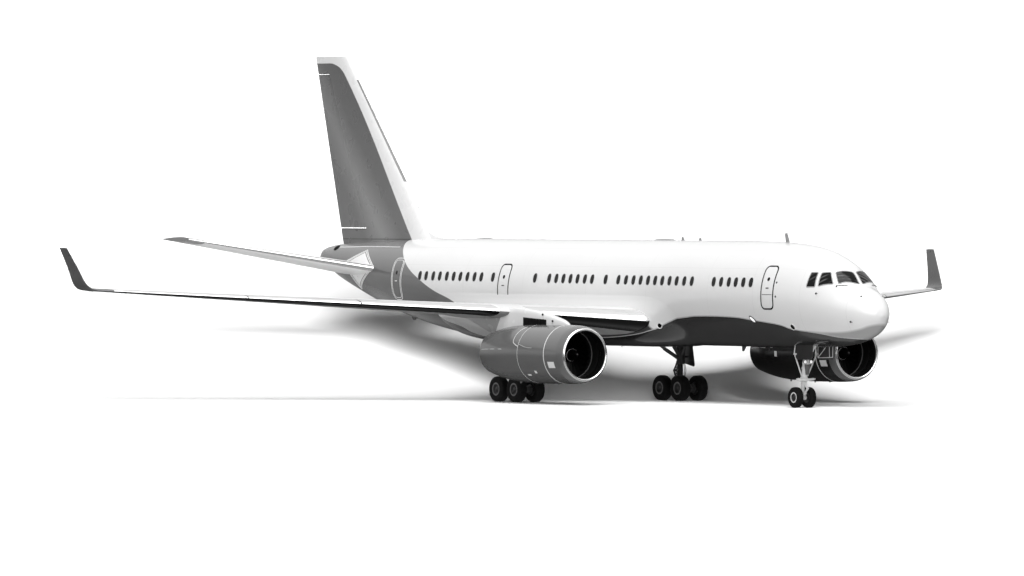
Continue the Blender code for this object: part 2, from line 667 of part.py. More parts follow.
def build_pylon(side_name, side, centre):
    outline = [(station - LENGTH / 2, height) for station, height in PYLON_OUTLINE]
    middle = side * ENGINE_SIDE
    half = PYLON_HALF_THICKNESS
    pylon = prism("pylon_" + side_name, outline, 0, middle - half, middle + half, helper=False)
    outer = [(distance, radius + GAP) for distance, radius in COWL_PROFILE[:8]] + [(0.0, 1.0)]
    solid = [(PYLON_CLEAR[0], 0.0), PYLON_CLEAR] + outer + [(0.0, 0.0)]
    nacelle = turned(pylon.name + "_nacelle_cutter", solid, centre, (0, 1, 0), ENGINE_STEPS, helper=True)
    cut(pylon, nacelle, bpy.data.objects["wing_cutter_" + side_name])
    paint(pylon, WHITE, 0.3)


def hub_height(radius):
    """The axle's height where a turned tyre stands on one of its flats."""
    return radius * cos(pi / WHEEL_STEPS)


def wheel_pair(name, centre, wheel_side, tyre_width, radius, colour):
    """Two tyres on their hubs and the axle that joins them, turned as one."""
    outer = wheel_side + tyre_width / 2
    inner = wheel_side - tyre_width / 2
    rim = radius * 0.52
    hub = radius * HUB_SHARE
    inside = inner - HUB_INSET
    half = [
        (outer - 0.05, 0.0), (outer - 0.05, hub), (outer - 0.09, rim * 0.85), (outer - 0.015, rim),
        (outer, radius * 0.72), (outer - 0.03, radius * 0.90), (outer - tyre_width * 0.26, radius),
        (inner + tyre_width * 0.26, radius), (inner + 0.03, radius * 0.90), (inner, radius * 0.72),
        (inner + 0.015, rim), (inner + 0.07, rim * 0.85), (inside, hub * 0.9), (inside, hub * AXLE_SHARE),
    ]
    profile = half + [(-distance, around) for distance, around in reversed(half)]
    made = turned(name, profile, Vector((0, 0, 0)), (1, 0, 0), WHEEL_STEPS)
    made.data.transform(Matrix.Rotation(pi / WHEEL_STEPS, 4, "X"))
    made.location = centre
    return paint(made, colour, 0.7)


def build_main_gear():
    far = Vector((1, 0, 0))
    for side_name, side in SIDES:
        hub = place(MAIN_GEAR_STATION, side * MAIN_GEAR_SIDE, hub_height(MAIN_WHEEL_RADIUS))
        ends = [hub + Vector((0, shift, 0)) for shift in (-BOGIE_BASE / 2, BOGIE_BASE / 2)]
        for part_name, end in zip(("front", "rear"), ends):
            wheel_pair(f"main_wheels_{part_name}_{side_name}", end, MAIN_WHEEL_SIDE, MAIN_TYRE_WIDTH,
                       MAIN_WHEEL_RADIUS, TYRE)
        overhang = Vector((0, BOGIE_OVERHANG, 0))
        bogie = rod("bogie_beam_" + side_name, ends[0] - overhang, ends[1] + overhang, BOGIE_RADIUS, helper=False)
        boss = Vector((MAIN_WHEEL_SIDE - MAIN_TYRE_WIDTH / 2 - HUB_INSET - GAP, 0, 0))
        hole = MAIN_WHEEL_RADIUS * HUB_SHARE * AXLE_SHARE + RUNNING_GAP
        join(bogie, *[rod(f"{bogie.name}_boss_{index}", end - boss, end + boss, BOGIE_BOSS_RADIUS, 16)
                      for index, end in enumerate(ends)])
        cut(bogie, *[rod(f"{bogie.name}_hole_{index}", end - far, end + far, hole, 16)
                     for index, end in enumerate(ends)])
        paint(bogie, STEEL, 0.5, 0.5)
        build_main_leg(side_name, side, hub)


def build_main_leg(side_name, side, hub):
    """The leg from the bogie beam to the wing, with its braces, torque link and the door it carries."""
    waist = Vector((hub.x, hub.y, MAIN_LEG_WAIST))
    leg = rod("main_leg_" + side_name, waist, Vector((hub.x, hub.y, MAIN_LEG_TOP)), MAIN_LEG_RADIUS, 16,
              helper=False)
    half_width, half_length, height = MAIN_LEG_FOOT
    seat = hub + Vector((0, 0, BOGIE_RADIUS + GAP))
    join(leg, block(leg.name + "_foot", seat - Vector((half_width, half_length, 0)),
                    seat + Vector((half_width, half_length, height))))
    for name, start, end, radius, steps in MAIN_LEG_RODS:
        points = [waist + Vector((side * out, aft, up)) for out, aft, up in (start, end)]
        join(leg, rod(f"{leg.name}_{name}", *points, radius, steps))
    cut(leg, bpy.data.objects["wing_cutter_" + side_name])
    paint(leg, STEEL, 0.5, 0.5)
    inner, outer, half_length, low, high = MAIN_GEAR_DOOR
    door = block("main_gear_door_" + side_name,
                 Vector((hub.x + side * (inner + GAP), hub.y - half_length, low)),
                 Vector((hub.x + side * outer, hub.y + half_length, high)), helper=False)
    paint(door, DARK, 0.4)


def build_nose_fork(hub, joint):
    boss = Vector((NOSE_WHEEL_SIDE - NOSE_TYRE_WIDTH / 2 - HUB_INSET - GAP, 0, 0))
    far = Vector((1, 0, 0))
    fork = rod("nose_fork", hub, joint, NOSE_FORK_RADIUS, 16, helper=False)
    join(fork, rod("nose_fork_boss", hub - boss, hub + boss, NOSE_FORK_BOSS_RADIUS, 16),
         block("nose_fork_tow_lug", *[hub + Vector(corner) for corner in TOW_LUG]))
    hole = NOSE_WHEEL_RADIUS * HUB_SHARE * AXLE_SHARE + RUNNING_GAP
    cut(fork, rod("nose_fork_hole", hub - far, hub + far, hole, 16))
    paint(fork, WHITE, 0.4)


def build_nose_gear():
    hub = place(NOSE_GEAR_STATION, 0, hub_height(NOSE_WHEEL_RADIUS))
    wheel_pair("nose_wheels", hub, NOSE_WHEEL_SIDE, NOSE_TYRE_WIDTH, NOSE_WHEEL_RADIUS, TYRE)
    along = (place(NOSE_LEG_AIM[0], 0, NOSE_LEG_AIM[1]) - hub).normalized()
    joint = hub + along * NOSE_FORK_LENGTH
    build_nose_fork(hub, joint - along * GAP)
    roof = NOSE_BAY[3] - GAP
    half_width, half_length, depth = NOSE_LEG_HEAD
    leg_end = joint + along * ((roof - depth / 2 - joint.z) / along.z)
    leg = rod("nose_leg", joint, leg_end, NOSE_LEG_RADIUS, 16, helper=False)
    head = block("nose_leg_head", Vector((-half_width, leg_end.y - half_length, roof - depth)),
                 Vector((half_width, leg_end.y + half_length, roof)))
    waist = joint + along * NOSE_LEG_WAIST
    reach, radius = NOSE_BRACE
    braces = [
        rod(f"nose_leg_brace_{index}", waist, Vector((side * reach, leg_end.y, roof - depth / 2)), radius, 8)
        for index, side in enumerate((-1, 1))
    ]
    reach, radius = NOSE_DRAG_BRACE
    braces.append(rod("nose_leg_drag_brace", waist, Vector((0, leg_end.y - reach, roof - radius)), radius, 12))
    reach, ahead, above, radius = LAMP_BAR
    bar = [waist + Vector((side * reach, -ahead, above)) for side in (-1, 1)]
    join(leg, head, *braces, rod("nose_leg_lamp_bar", *bar, radius, 8))
    paint(leg, WHITE, 0.4)
    build_nose_doors()


def build_nose_doors():
    front, rear, side_at, low, high = NOSE_DOOR
    front_cut, rear_cut = NOSE_DOOR_CORNERS
    front -= LENGTH / 2
    rear -= LENGTH / 2
    outline = [(front, high), (rear, high), (rear, low + rear_cut), (rear - rear_cut, low), (front, low + front_cut)]
    for side_name, side in SIDES:
        ends = sorted((side * side_at, side * (side_at + NOSE_DOOR_THICKNESS)))
        door = prism("nose_gear_door_" + side_name, outline, 0, *ends, helper=False)
        cut(door, fuselage_span(door.name + "_cutter", 3.0, 6.5, GAP, helper=True))
        paint(door, WHITE, 0.4)


def shrink_to_model():
    """Every object's own mesh and place, shrunk from full size to the model's."""
    shrink = Matrix.Scale(MODEL_SCALE, 4)
    for made in list(parts.objects) + list(helpers.objects):
        made.data.transform(shrink)
        made.location = made.location * MODEL_SCALE
        made.data.shade_smooth()
        made.data.set_sharp_from_angle(angle=radians(30))


build_fuselage()
build_doors()
build_fairing()
build_wings()
build_winglets()
build_tail()
build_engines()
build_main_gear()
build_nose_gear()
shrink_to_model()
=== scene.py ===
from math import cos, pi, radians, sin, sqrt

import bmesh
import bpy
import numpy as np
from mathutils import Matrix, Vector


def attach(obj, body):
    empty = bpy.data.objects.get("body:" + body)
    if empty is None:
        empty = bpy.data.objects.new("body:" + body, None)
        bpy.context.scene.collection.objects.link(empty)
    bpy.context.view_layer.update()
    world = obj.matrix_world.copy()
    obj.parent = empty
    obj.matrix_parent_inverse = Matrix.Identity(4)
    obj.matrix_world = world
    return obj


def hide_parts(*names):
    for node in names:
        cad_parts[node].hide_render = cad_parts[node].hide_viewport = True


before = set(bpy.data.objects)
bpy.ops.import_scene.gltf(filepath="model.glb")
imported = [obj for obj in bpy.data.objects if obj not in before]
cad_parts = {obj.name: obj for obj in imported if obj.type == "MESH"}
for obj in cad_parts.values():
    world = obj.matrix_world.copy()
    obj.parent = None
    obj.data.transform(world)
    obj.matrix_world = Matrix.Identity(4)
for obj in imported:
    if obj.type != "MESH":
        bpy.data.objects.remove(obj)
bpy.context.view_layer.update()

# Lengths are full-size metres as (side, station, height), side to port, station aft from the nose tip.
# piece() shrinks them into the model's frame.
SCALE = 0.5
MIDDLE = 20.095          # the station at the model's origin
SIDES = (("port", 1), ("starboard", -1))

# Fuselage rows: station, half width, top, height of the widest line, bottom
FUSELAGE = (
    (0.0, 0.0, 3.60, 3.60, 3.60), (0.06, 0.24, 3.84, 3.61, 3.36), (0.18, 0.41, 4.03, 3.63, 3.20),
    (0.43, 0.63, 4.30, 3.67, 2.97), (0.71, 0.81, 4.50, 3.72, 2.81), (1.05, 0.97, 4.64, 3.77, 2.68),
    (1.42, 1.11, 4.80, 3.83, 2.58), (1.79, 1.23, 5.19, 3.89, 2.50), (2.57, 1.43, 5.68, 4.01, 2.41),
    (3.60, 1.62, 6.06, 4.14, 2.35), (4.76, 1.77, 6.26, 4.25, 2.33), (6.0, 1.86, 6.35, 4.33, 2.31),
    (7.5, 1.90, 6.40, 4.36, 2.31), (9.5, 1.90, 6.41, 4.36, 2.31), (12.5, 1.90, 6.41, 4.36, 2.31),
    (16.5, 1.90, 6.41, 4.36, 2.31), (20.5, 1.90, 6.41, 4.36, 2.31), (24.0, 1.90, 6.41, 4.36, 2.32),
    (27.0, 1.88, 6.41, 4.38, 2.44), (28.5, 1.84, 6.41, 4.44, 2.58), (30.4, 1.74, 6.40, 4.56, 2.84),
    (32.4, 1.57, 6.37, 4.74, 3.22), (34.4, 1.32, 6.33, 4.98, 3.71), (36.2, 1.05, 6.26, 5.22, 4.24),
    (37.6, 0.82, 6.18, 5.43, 4.69), (38.6, 0.57, 6.08, 5.57, 5.09), (39.15, 0.40, 5.98, 5.62, 5.28),
    (39.4, 0.26, 5.86, 5.61, 5.38),
)
FUSELAGE_PARTS = (("nose_radome", 0.0, 1.05), ("forward_fuselage", 1.05, 9.0),
                  ("main_fuselage", 9.0, 37.6), ("tail_cone", 37.6, 39.4))
SKIN_AROUND = 144        # points round the fuselage
SHARP_ANGLE = 32         # degrees; edges that turn more than this stay sharp

# The wing root's fairing: its fullest half section as (side, height), then (station, share of that fullness)
FAIRING_OUTLINE = (
    (1.60, 4.42), (1.86, 4.38), (1.902, 4.20), (1.925, 4.02), (1.965, 3.82), (2.01, 3.62), (2.05, 3.40), (2.055, 3.05),
    (2.03, 2.78), (1.93, 2.53), (1.75, 2.39), (1.50, 2.30), (1.05, 2.245), (0.52, 2.23), (0.0, 2.23),
)
FAIRING = ((10.8, 0.0), (11.6, 0.08), (12.3, 0.34), (13.0, 0.72), (13.7, 0.94), (14.4, 1.0), (15.0, 1.0), (18.0, 1.0),
           (20.5, 1.0), (22.3, 1.0), (24.6, 0.86), (26.8, 0.50), (28.7, 0.0))
FAIRING_SUNK = 0.02      # how far it lies under the fuselage's skin at its ends

# Doors: name, station, width, sill, top, corner radius
DOORS = (("door_front", 5.12, 0.70, 3.81, 5.45, 0.16), ("door_mid", 23.29, 0.74, 3.92, 5.40, 0.16),
         ("door_rear", 31.49, 0.66, 4.00, 5.52, 0.16))
WINDOW_STATIONS = (
    6.16, 6.64, 7.13, 7.59, 8.11, 8.61, 10.10, 10.62, 11.14, 11.63, 12.13, 12.62, 13.11, 13.62, 14.12,
    14.64, 15.17, 16.06, 17.01, 17.52, 18.04, 18.54, 19.04, 19.54, 20.05, 21.06, 24.09, 24.94, 25.44,
    25.96, 26.48, 26.98, 27.49, 28.02, 28.53, 29.08, 29.57,
)
WINDOW_SIZE = (0.25, 0.37)
WINDOW_HEIGHT, WINDOW_RISE = 4.82, 0.0037                 # at station 6, and the rise with each metre aft
# Cockpit panes of one side, corners as (station, side, height)
PANES = (
    ((3.02, 1.42, 4.66), (3.03, 1.14, 5.19), (2.74, 1.03, 5.20), (2.61, 1.31, 4.67)),
    ((2.47, 1.25, 4.69), (2.59, 0.98, 5.18), (2.28, 0.76, 5.19), (1.90, 0.94, 4.77)),
    ((2.16, 0.65, 5.19), (1.86, 0.06, 5.20), (1.40, 0.07, 4.77), (1.73, 0.82, 4.77)),
)

# Wing, fin and tailplane rows: span, leading edge station, offset, chord, thickness, drop of the rear edge
WING = ((2.05, 12.87, 3.26, 8.39, 0.130, 0.34), (7.40, 16.15, 3.66, 4.72, 0.106, 0.10),
        (20.30, 24.05, 4.38, 1.28, 0.095, 0.0))
FIN = ((5.60, 30.62, 0.0, 7.24, 0.100, 0.0), (13.88, 37.80, 0.0, 2.39, 0.090, 0.0))
TAILPLANE = ((0.60, 32.98, 5.02, 4.90, 0.100, 0.0), (7.50, 38.02, 6.32, 2.10, 0.090, 0.0))
CAMBER = 0.012
EDGE_THICKNESS = 0.014        # of a rear edge
RUNNING_GAP = 0.012           # ahead of a control surface's round nose
END_CLEARANCE = 0.045         # at the ends of a spoiler
SWING_CLEARANCE = 0.095       # the swept ends of a control surface come closer as it turns
# Slats: name, share of the chord, spans. The others: first and last span, then shares of the chord;
# the spoiler also has its thickness, and RUDDER_ENDS are the clearances at its foot and top
SLATS = (("inner_slat", 0.105, ((2.55, 5.95),)),
         ("outer_slat", 0.130, ((6.95, 11.53), (11.57, 15.29), (15.33, 19.75))))
TIP_START, TIP_END = 19.75, 20.30
FLAPS = (("inner_flap", 2.25, 7.30, 0.790), ("outer_flap", 7.50, 14.10, 0.735))
AILERON = (14.35, 19.60, 0.760)
SPOILER = (7.80, 13.80, 0.600, 0.725, 0.040)
RUDDER = (6.75, 13.20, 0.690)
RUDDER_ENDS = (0.08, 0.06)
ELEVATOR = (1.55, 7.05, 0.700)
# Winglet rows: side, leading edge station, height, chord, thickness, lean in degrees
WINGLET = (
    (20.3006, 24.053, 4.385, 1.275, 0.120, 90), (20.46, 24.22, 4.44, 1.14, 0.100, 62),
    (20.61, 24.48, 4.67, 0.96, 0.085, 30), (20.73, 24.87, 5.25, 0.76, 0.065, 13),
    (20.8999, 25.42, 6.02, 0.54, 0.045, 12),
)

ENGINE_SIDE, ENGINE_STATION, ENGINE_HEIGHT = 6.442, 10.63, 1.992
# Turned profiles: distance aft of the intake's front edge, radius
LIP = ((0.42, 1.118), (0.30, 1.103), (0.20, 1.085), (0.12, 1.062), (0.06, 1.036), (0.02, 1.008), (0.0, 0.978),
       (0.015, 0.948), (0.06, 0.919), (0.13, 0.897), (0.22, 0.882), (0.32, 0.876), (0.42, 0.874))
COWL_OUTER = ((0.4206, 1.118), (0.90, 1.138), (1.40, 1.144), (2.00, 1.145), (2.60, 1.144), (3.20, 1.140),
              (4.30, 1.105), (5.00, 1.045), (5.60, 0.950), (6.20, 0.820))
COWL_INNER = ((6.20, 0.79), (5.2, 0.83), (4.20, 0.86), (2.60, 0.90), (1.60, 0.94), (0.95, 0.935), (0.70, 0.895),
              (0.4206, 0.874))
CORE = ((1.42, 0.0), (1.42, 0.30), (1.50, 0.42), (2.20, 0.56), (4.00, 0.52), (4.80, 0.42), (5.30, 0.26),
        (5.65, 0.11), (5.80, 0.0))
SPINNER = ((0.52, 0.0), (0.535, 0.03), (0.57, 0.065), (0.70, 0.135), (0.90, 0.22), (1.08, 0.28), (1.25, 0.30),
           (1.4194, 0.30))
STRUT_DISTANCE = 3.0     # of the four struts behind the fan
SPIRAL = (0.76, 0.30, 1.15)                               # on the spinner: start, reach aft, turns
FAN_BLADES = 24
FAN_DEPTH = 1.20         # of the blades behind the intake's front edge
# Fan blade sections: radius, half chord, twist in degrees
FAN_BLADE = ((0.20, 0.130, 28), (0.38, 0.136, 36), (0.58, 0.142, 44), (0.76, 0.148, 51), (0.915, 0.150, 58))


# ---------- Meshes: (points, faces) in full-size metres ----------

def fine(rows, steps):
    """The rows of a table with smooth curves through them, steps to each gap."""
    rows = np.array(rows, float)
    ends = np.vstack((2 * rows[0] - rows[1], rows, 2 * rows[-1] - rows[-2]))
    t = np.linspace(0, 1, steps, endpoint=False)[:, None]
    made = [((2 * b) + (c - a) * t + (2 * a - 5 * b + 4 * c - d) * t**2 + (3 * b - a - 3 * c + d) * t**3) / 2
            for a, b, c, d in zip(ends, ends[1:], ends[2:], ends[3:])]
    return np.vstack(made + [rows[-1:]])


def look_up(rows, at):
    """A table's columns after the first, read at values of the first."""
    first, *others = np.asarray(rows).T
    return [np.interp(at, first, column) for column in others]


def circle(count):
    return np.linspace(0, 2 * pi, count, endpoint=False)


def squared(wave, power):
    """A sine or cosine wave with fuller shoulders where power is under 1."""
    return np.sign(wave) * np.abs(wave)**power


def edge_points(corners, shares):
    """Points along an outline's edges, at these shares of each edge."""
    return np.array([first + (second - first) * share for first, second in zip(corners, np.roll(corners, -1, 0))
                     for share in shares])


def relaxed(rows, rounds):
    """Rows with their small kinks smoothed away; the ends stay."""
    for _ in range(rounds):
        rows[1:-1] = (rows[:-2] + 2 * rows[1:-1] + rows[2:]) / 4
    return rows


def loft(rings, closed=False):
    """Closed rings of points joined in order, with their two ends capped or joined to each other."""
    rings = np.asarray(rings, float)
    count, around = rings.shape[:2]
    index = np.arange(count * around).reshape(count, around)
    near = index if closed else index[:-1]
    far = np.roll(index, -1, 0) if closed else index[1:]
    quads = np.stack((near, np.roll(near, -1, 1), np.roll(far, -1, 1), far), -1).reshape(-1, 4)
    faces = quads.tolist()
    if not closed:
        faces += [index[0][::-1].tolist(), index[-1].tolist()]
    return rings.reshape(-1, 3), faces


def turned(profile, centre, axis, steps):
    """A profile of (distance, radius) turned about the line through centre along axis."""
    profile = np.array(profile, float)
    axis = np.array(axis, float) / np.linalg.norm(axis)
    across = np.cross(axis, (0, 0, 1.0) if abs(axis[2]) < 0.9 else (1.0, 0, 0))
    across /= np.linalg.norm(across)
    other = np.cross(axis, across)
    angle = circle(steps)
    round_it = np.cos(angle)[:, None] * across + np.sin(angle)[:, None] * other
    rings = [np.array(centre) + axis * distance + round_it * radius for distance, radius in profile]
    closed = profile[0][1] > 0 and profile[-1][1] > 0
    return loft(rings, closed)


def rod(start, end, radius, steps=20):
    """A round bar with softened ends."""
    start, end = np.array(start, float), np.array(end, float)
    length = np.linalg.norm(end - start)
    soft = min(0.15 * radius, length / 4)
    profile = ((0, 0), (0, radius - soft), (soft, radius), (length - soft, radius), (length, radius - soft),
               (length, 0))
    return turned(profile, start, end - start, steps)


def rods(rows, at):
    """Round bars from rows of (start, end, radius, steps)."""
    return [rod(at(*start), at(*end), *rest) for start, end, *rest in rows]


def sweep(path, normals, outline, closed=False):
    """An outline of (across, out) pairs carried along a path on a surface with these normals."""
    path, normals = np.asarray(path, float), np.asarray(normals, float)
    ahead = np.roll(path, -1, 0) - np.roll(path, 1, 0)
    if not closed:
        ahead[0], ahead[-1] = path[1] - path[0], path[-1] - path[-2]
    ahead /= np.linalg.norm(ahead, axis=1)[:, None]
    across = np.cross(normals, ahead)
    across /= np.linalg.norm(across, axis=1)[:, None]
    rings = [[point + side * a + out * n for a, out in outline] for point, side, n in zip(path, across, normals)]
    return loft(rings, closed)


def tube(path, radius):
    """A round pipe along a path."""
    path = np.asarray(path, float)
    ahead = np.gradient(path, axis=0)
    ahead /= np.linalg.norm(ahead, axis=1)[:, None]
    up = np.where(np.abs(ahead[:, 2:]) > 0.95, (0.0, 1.0, 0.0), (0.0, 0.0, 1.0))
    side = np.cross(up, ahead)
    side /= np.linalg.norm(side, axis=1)[:, None]
    out = np.cross(ahead, side)
    return loft([[p + radius * (cos(a) * s + sin(a) * o) for a in circle(8)] for p, s, o in zip(path, side, out)])


def box(low, high, bevel=0.01):
    """A block with chamfered edges."""
    low, high = np.array(low, float), np.array(high, float)
    b = min(bevel, (high - low).min() * 0.3)
    rings = []
    for z, inset in ((low[2], b), (low[2] + b, 0), (high[2] - b, 0), (high[2], b)):
        x0, x1, y0, y1 = low[0] + inset, high[0] - inset, low[1] + inset, high[1] - inset
        rings.append([(x0 + b, y0, z), (x1 - b, y0, z), (x1, y0 + b, z), (x1, y1 - b, z),
                      (x1 - b, y1, z), (x0 + b, y1, z), (x0, y1 - b, z), (x0, y0 + b, z)])
    return loft(rings)


def plate(outline, inner, outer, axis=0, bevel=0.004):
    """A flat plate from an outline of two coordinates, between two levels of the third, its edges softened."""
    outline = np.array(outline, float)
    middle = outline.mean(0)
    reach = np.abs(outline - middle).max()
    rings = []
    for level, inset in ((inner, bevel), (inner + np.sign(outer - inner) * bevel, 0),
                         (outer - np.sign(outer - inner) * bevel, 0), (outer, bevel)):
        flat = middle + (outline - middle) * (1 - inset / reach)
        rings.append(np.insert(flat, axis, level, axis=1))
    return loft(rings)


def linked(name, data):
    """A new object in the scene."""
    made = bpy.data.objects.new(name, data)
    bpy.context.scene.collection.objects.link(made)
    return made


def hollow(mesh_data, low, high):
    """The mesh with a block taken out of it; corners in full-size metres."""
    block = bpy.data.meshes.new("hollow")
    points, faces = box(low, high, 0.02)
    block.from_pydata(((points - (0, MIDDLE, 0)) * SCALE).tolist(), [], faces)
    made = [linked(data.name, data) for data in (mesh_data, block)]
    modifier = made[0].modifiers.new("hollow", "BOOLEAN")
    modifier.object, modifier.solver = made[1], "EXACT"
    bpy.context.view_layer.update()
    ready = made[0].evaluated_get(bpy.context.evaluated_depsgraph_get())
    result = bpy.data.meshes.new_from_object(ready)
    for spare in made:
        bpy.data.objects.remove(spare)
    return result


def piece(name, parts, finish, body="airframe", replaces=(), bay=None, slot=None):
    """One object of closed meshes in the model's frame. A finish is a material and its usual slot; the slot is not
    used.
    """
    material, usual_slot = finish
    points, faces, count = [], [], 0
    for part_points, part_faces in parts:
        points.append(part_points)
        faces += [[index + count for index in face] for face in part_faces]
        count += len(part_points)
    points = (np.concatenate(points) - (0, MIDDLE, 0)) * SCALE
    data = bpy.data.meshes.new(name)
    data.from_pydata(points.tolist(), [], faces)
    mesh = bmesh.new()
    mesh.from_mesh(data)
    bmesh.ops.remove_doubles(mesh, verts=mesh.verts, dist=1e-6)
    bmesh.ops.recalc_face_normals(mesh, faces=mesh.faces)
    mesh.to_mesh(data)
    mesh.free()
    if bay:
        data = hollow(data, *bay)
        data.name = name
    data.shade_smooth()
    data.set_sharp_from_angle(angle=radians(SHARP_ANGLE))
    data.materials.clear()
    data.materials.append(material)
    made = linked(name, data)
    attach(made, body)
    if replaces:
        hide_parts(*replaces)


def skinned(name, parts, finish, **settings):
    """The piece that takes the place of the solid of that name."""
    piece(name + "_skin", parts, finish, replaces=[name], **settings)


# ---------- Finishes ----------

class Nodes:
    """Adds a material's nodes; each call returns the new node's first output."""

    def __init__(self, name, roughness, metallic=0.0, **settings):
        self.material = bpy.data.materials.new(name)
        self.material.use_nodes = True
        self.tree = self.material.node_tree
        self.shader = self.tree.nodes["Principled BSDF"]
        for socket, value in {"Roughness": roughness, "Metallic": metallic, **settings}.items():
            self.set(socket.replace("_", " "), value)

    def feed(self, socket, value):
        """Links a node's output to the socket, or sets the socket to a plain value."""
        if isinstance(value, bpy.types.NodeSocket):
            self.tree.links.new(value, socket)
        elif value is not None:
            socket.default_value = value

    def set(self, socket, value):
        self.feed(self.shader.inputs[socket], value)

    def add(self, kind, *values, output=0, **settings):
        node = self.tree.nodes.new("ShaderNode" + kind)
        for key, value in settings.items():
            setattr(node, key, value)
        for socket, value in zip(node.inputs, values):
            self.feed(socket, value)
        return node.outputs[output]

    def math(self, operation, *values):
        return self.add("Math", *values, operation=operation)

    def product(self, first, *others):
        for other in others:
            first = self.math("MULTIPLY", first, other)
        return first

    def apart(self, first, second):
        return self.math("ABSOLUTE", self.math("SUBTRACT", first, second))

    def remap(self, value, low, high, to_low=0.0, to_high=1.0):
        return self.add("MapRange", value, low, high, to_low, to_high)

    def split(self, vector):
        node = self.tree.nodes.new("ShaderNodeSeparateXYZ")
        self.feed(node.inputs[0], vector)
        return node.outputs

    def place(self):
        return self.add("TexCoord", output=3)

    def axes(self):
        """Side, station and height as separate values, in full-size metres."""
        side, along, height = self.split(self.place())
        return (self.math("MULTIPLY", side, 1 / SCALE),
                self.math("MULTIPLY_ADD", along, 1 / SCALE, MIDDLE), self.math("MULTIPLY", height, 1 / SCALE))

    def facing_up(self):
        """From -1 where the surface faces down to 1 where it faces up."""
        return self.split(self.add("NewGeometry", output=1))[2]

    def noise(self, scale, detail, stretch=None):
        where = self.place()
        if stretch:
            where = self.add("Mapping", where, None, None, stretch)
        return self.add("TexNoise", where, None, scale, detail)

    def mix(self, share, first, second):
        node = self.tree.nodes.new("ShaderNodeMix")
        node.data_type = "RGBA"
        for index, value in ((0, share), (6, first), (7, second)):
            self.feed(node.inputs[index], value)
        return node.outputs[2]

    def curve(self, value, points):
        """A smooth curve through (value, result) points."""
        low, high = points[0][0], points[-1][0]
        results = [result for _, result in points]
        floor = min(results)
        reach = max(results) - floor
        node = self.tree.nodes.new("ShaderNodeFloatCurve")
        line = node.mapping.curves[0]
        scaled = [((at - low) / (high - low), (result - floor) / reach) for at, result in points]
        line.points[0].location, line.points[1].location = scaled[0], scaled[-1]
        for location in scaled[1:-1]:
            line.points.new(*location)
        node.mapping.update()
        self.feed(node.inputs["Value"], self.remap(value, low, high))
        return self.math("MULTIPLY_ADD", node.outputs[0], reach, floor)

    def below(self, value, limit, soft=0.01):
        """1 where value is under limit, 0 above it."""
        return self.remap(self.math("SUBTRACT", value, limit), -soft, soft, 1.0, 0.0)

    def grey(self, value):
        return self.add("CombineXYZ", value, value, value)

    def shaded(self, colour, share):
        if isinstance(colour, tuple):
            colour = colour[:3]
        return self.add("VectorMath", colour, self.grey(share), operation="MULTIPLY")

    def wear(self, base, contrast=0.06, scale=1.2, bump=0.02, bump_scale=60.0, spread=0.12):
        """The base colour with soft uneven shade, an uneven gloss and a fine grain."""
        patch = self.noise(scale, 1.0, (1.0, 0.35, 1.0))
        self.set("Base Color", self.shaded(base, self.remap(patch, 0.3, 0.7, 1 - contrast, 1 + contrast)))
        level = self.shader.inputs["Roughness"].default_value
        self.set("Roughness", self.remap(self.noise(scale * 4, 1.0), 0.3, 0.7,
                                         level * (1 - spread), level * (1 + spread)))
        if bump:
            node = self.tree.nodes.new("ShaderNodeBump")
            for socket, value in (("Strength", bump), ("Distance", 0.001), ("Height", self.noise(bump_scale, 4.0))):
                self.feed(node.inputs[socket], value)
            self.set("Normal", node.outputs[0])
        return self.material


def tone(level):
    return (level, level, level, 1.0)


WHITE, DARK, GREY = tone(0.80), tone(0.038), tone(0.125)
# White above this line ahead of the wing, dark below it; grey aft of the second line: (station, height)
CHIN_LINE = ((0.6, 2.55), (1.04, 2.68), (1.76, 2.74), (2.60, 2.87), (4.17, 3.05), (4.70, 3.19), (6.33, 3.36),
             (7.88, 3.47), (9.57, 3.48), (10.74, 3.42), (11.99, 3.26), (13.07, 3.09), (14.07, 2.89), (14.93, 2.74),
             (15.83, 2.67), (16.61, 2.62), (20.0, 2.55), (24.34, 2.56), (25.5, 2.68), (26.52, 2.92), (27.85, 3.15),
             (28.73, 3.44), (30.2, 3.60), (31.6, 3.55), (33.0, 3.25), (34.0, 2.9))
TAIL_LINE = ((22.5, 2.2), (24.0, 2.75), (25.5, 3.35), (27.18, 3.97), (28.41, 4.31), (29.66, 4.78), (30.64, 5.21),
             (31.37, 5.64), (31.70, 5.85), (32.01, 6.05), (32.41, 6.29), (32.9, 6.6))
FAIRING_LINE = ((10.44, 3.44), (11.00, 3.43), (11.40, 3.36), (11.70, 3.28), (12.00, 3.19), (12.30, 3.08),
                (12.60, 2.96), (12.94, 2.87), (13.7, 2.72), (14.39, 2.65), (15.09, 2.60), (17.0, 2.52), (21.0, 2.46),
                (24.34, 2.49), (25.5, 2.62), (26.52, 2.90), (27.85, 3.10), (28.8, 3.38))
# Painted shade: the fairing's white is painted dark grey below this line, where the wing shades it
FAIRING_PAINTED_SHADE = ((12.3, 2.6), (12.8, 2.95), (13.2, 3.25), (14.0, 3.6), (18.0, 3.6), (21.0, 3.5), (22.5, 3.3),
                 (28.0, 3.3))
FAIRING_GREY = 3.35      # the tail's grey on the fairing ends at this height
TAIL_START = 22.6        # the tail's grey starts aft of this station
LINE_END = 21.0          # the light line between the colours ends at this station
# Painted shade: the nose's white is painted grey below this line, where its underside turns away from the light
NOSE_PAINTED_SHADE = ((0.0, 3.30), (0.3, 3.22), (0.8, 3.06), (1.5, 2.96), (2.4, 2.94), (3.4, 2.96), (5.0, 2.6))
SKIN_JOINTS = (1.05, 3.3, 6.0, 9.0, 13.2, 17.4, 21.9, 26.2, 30.4, 33.6, 36.2, 37.6)
LAP_JOINTS = (5.35, 6.05)
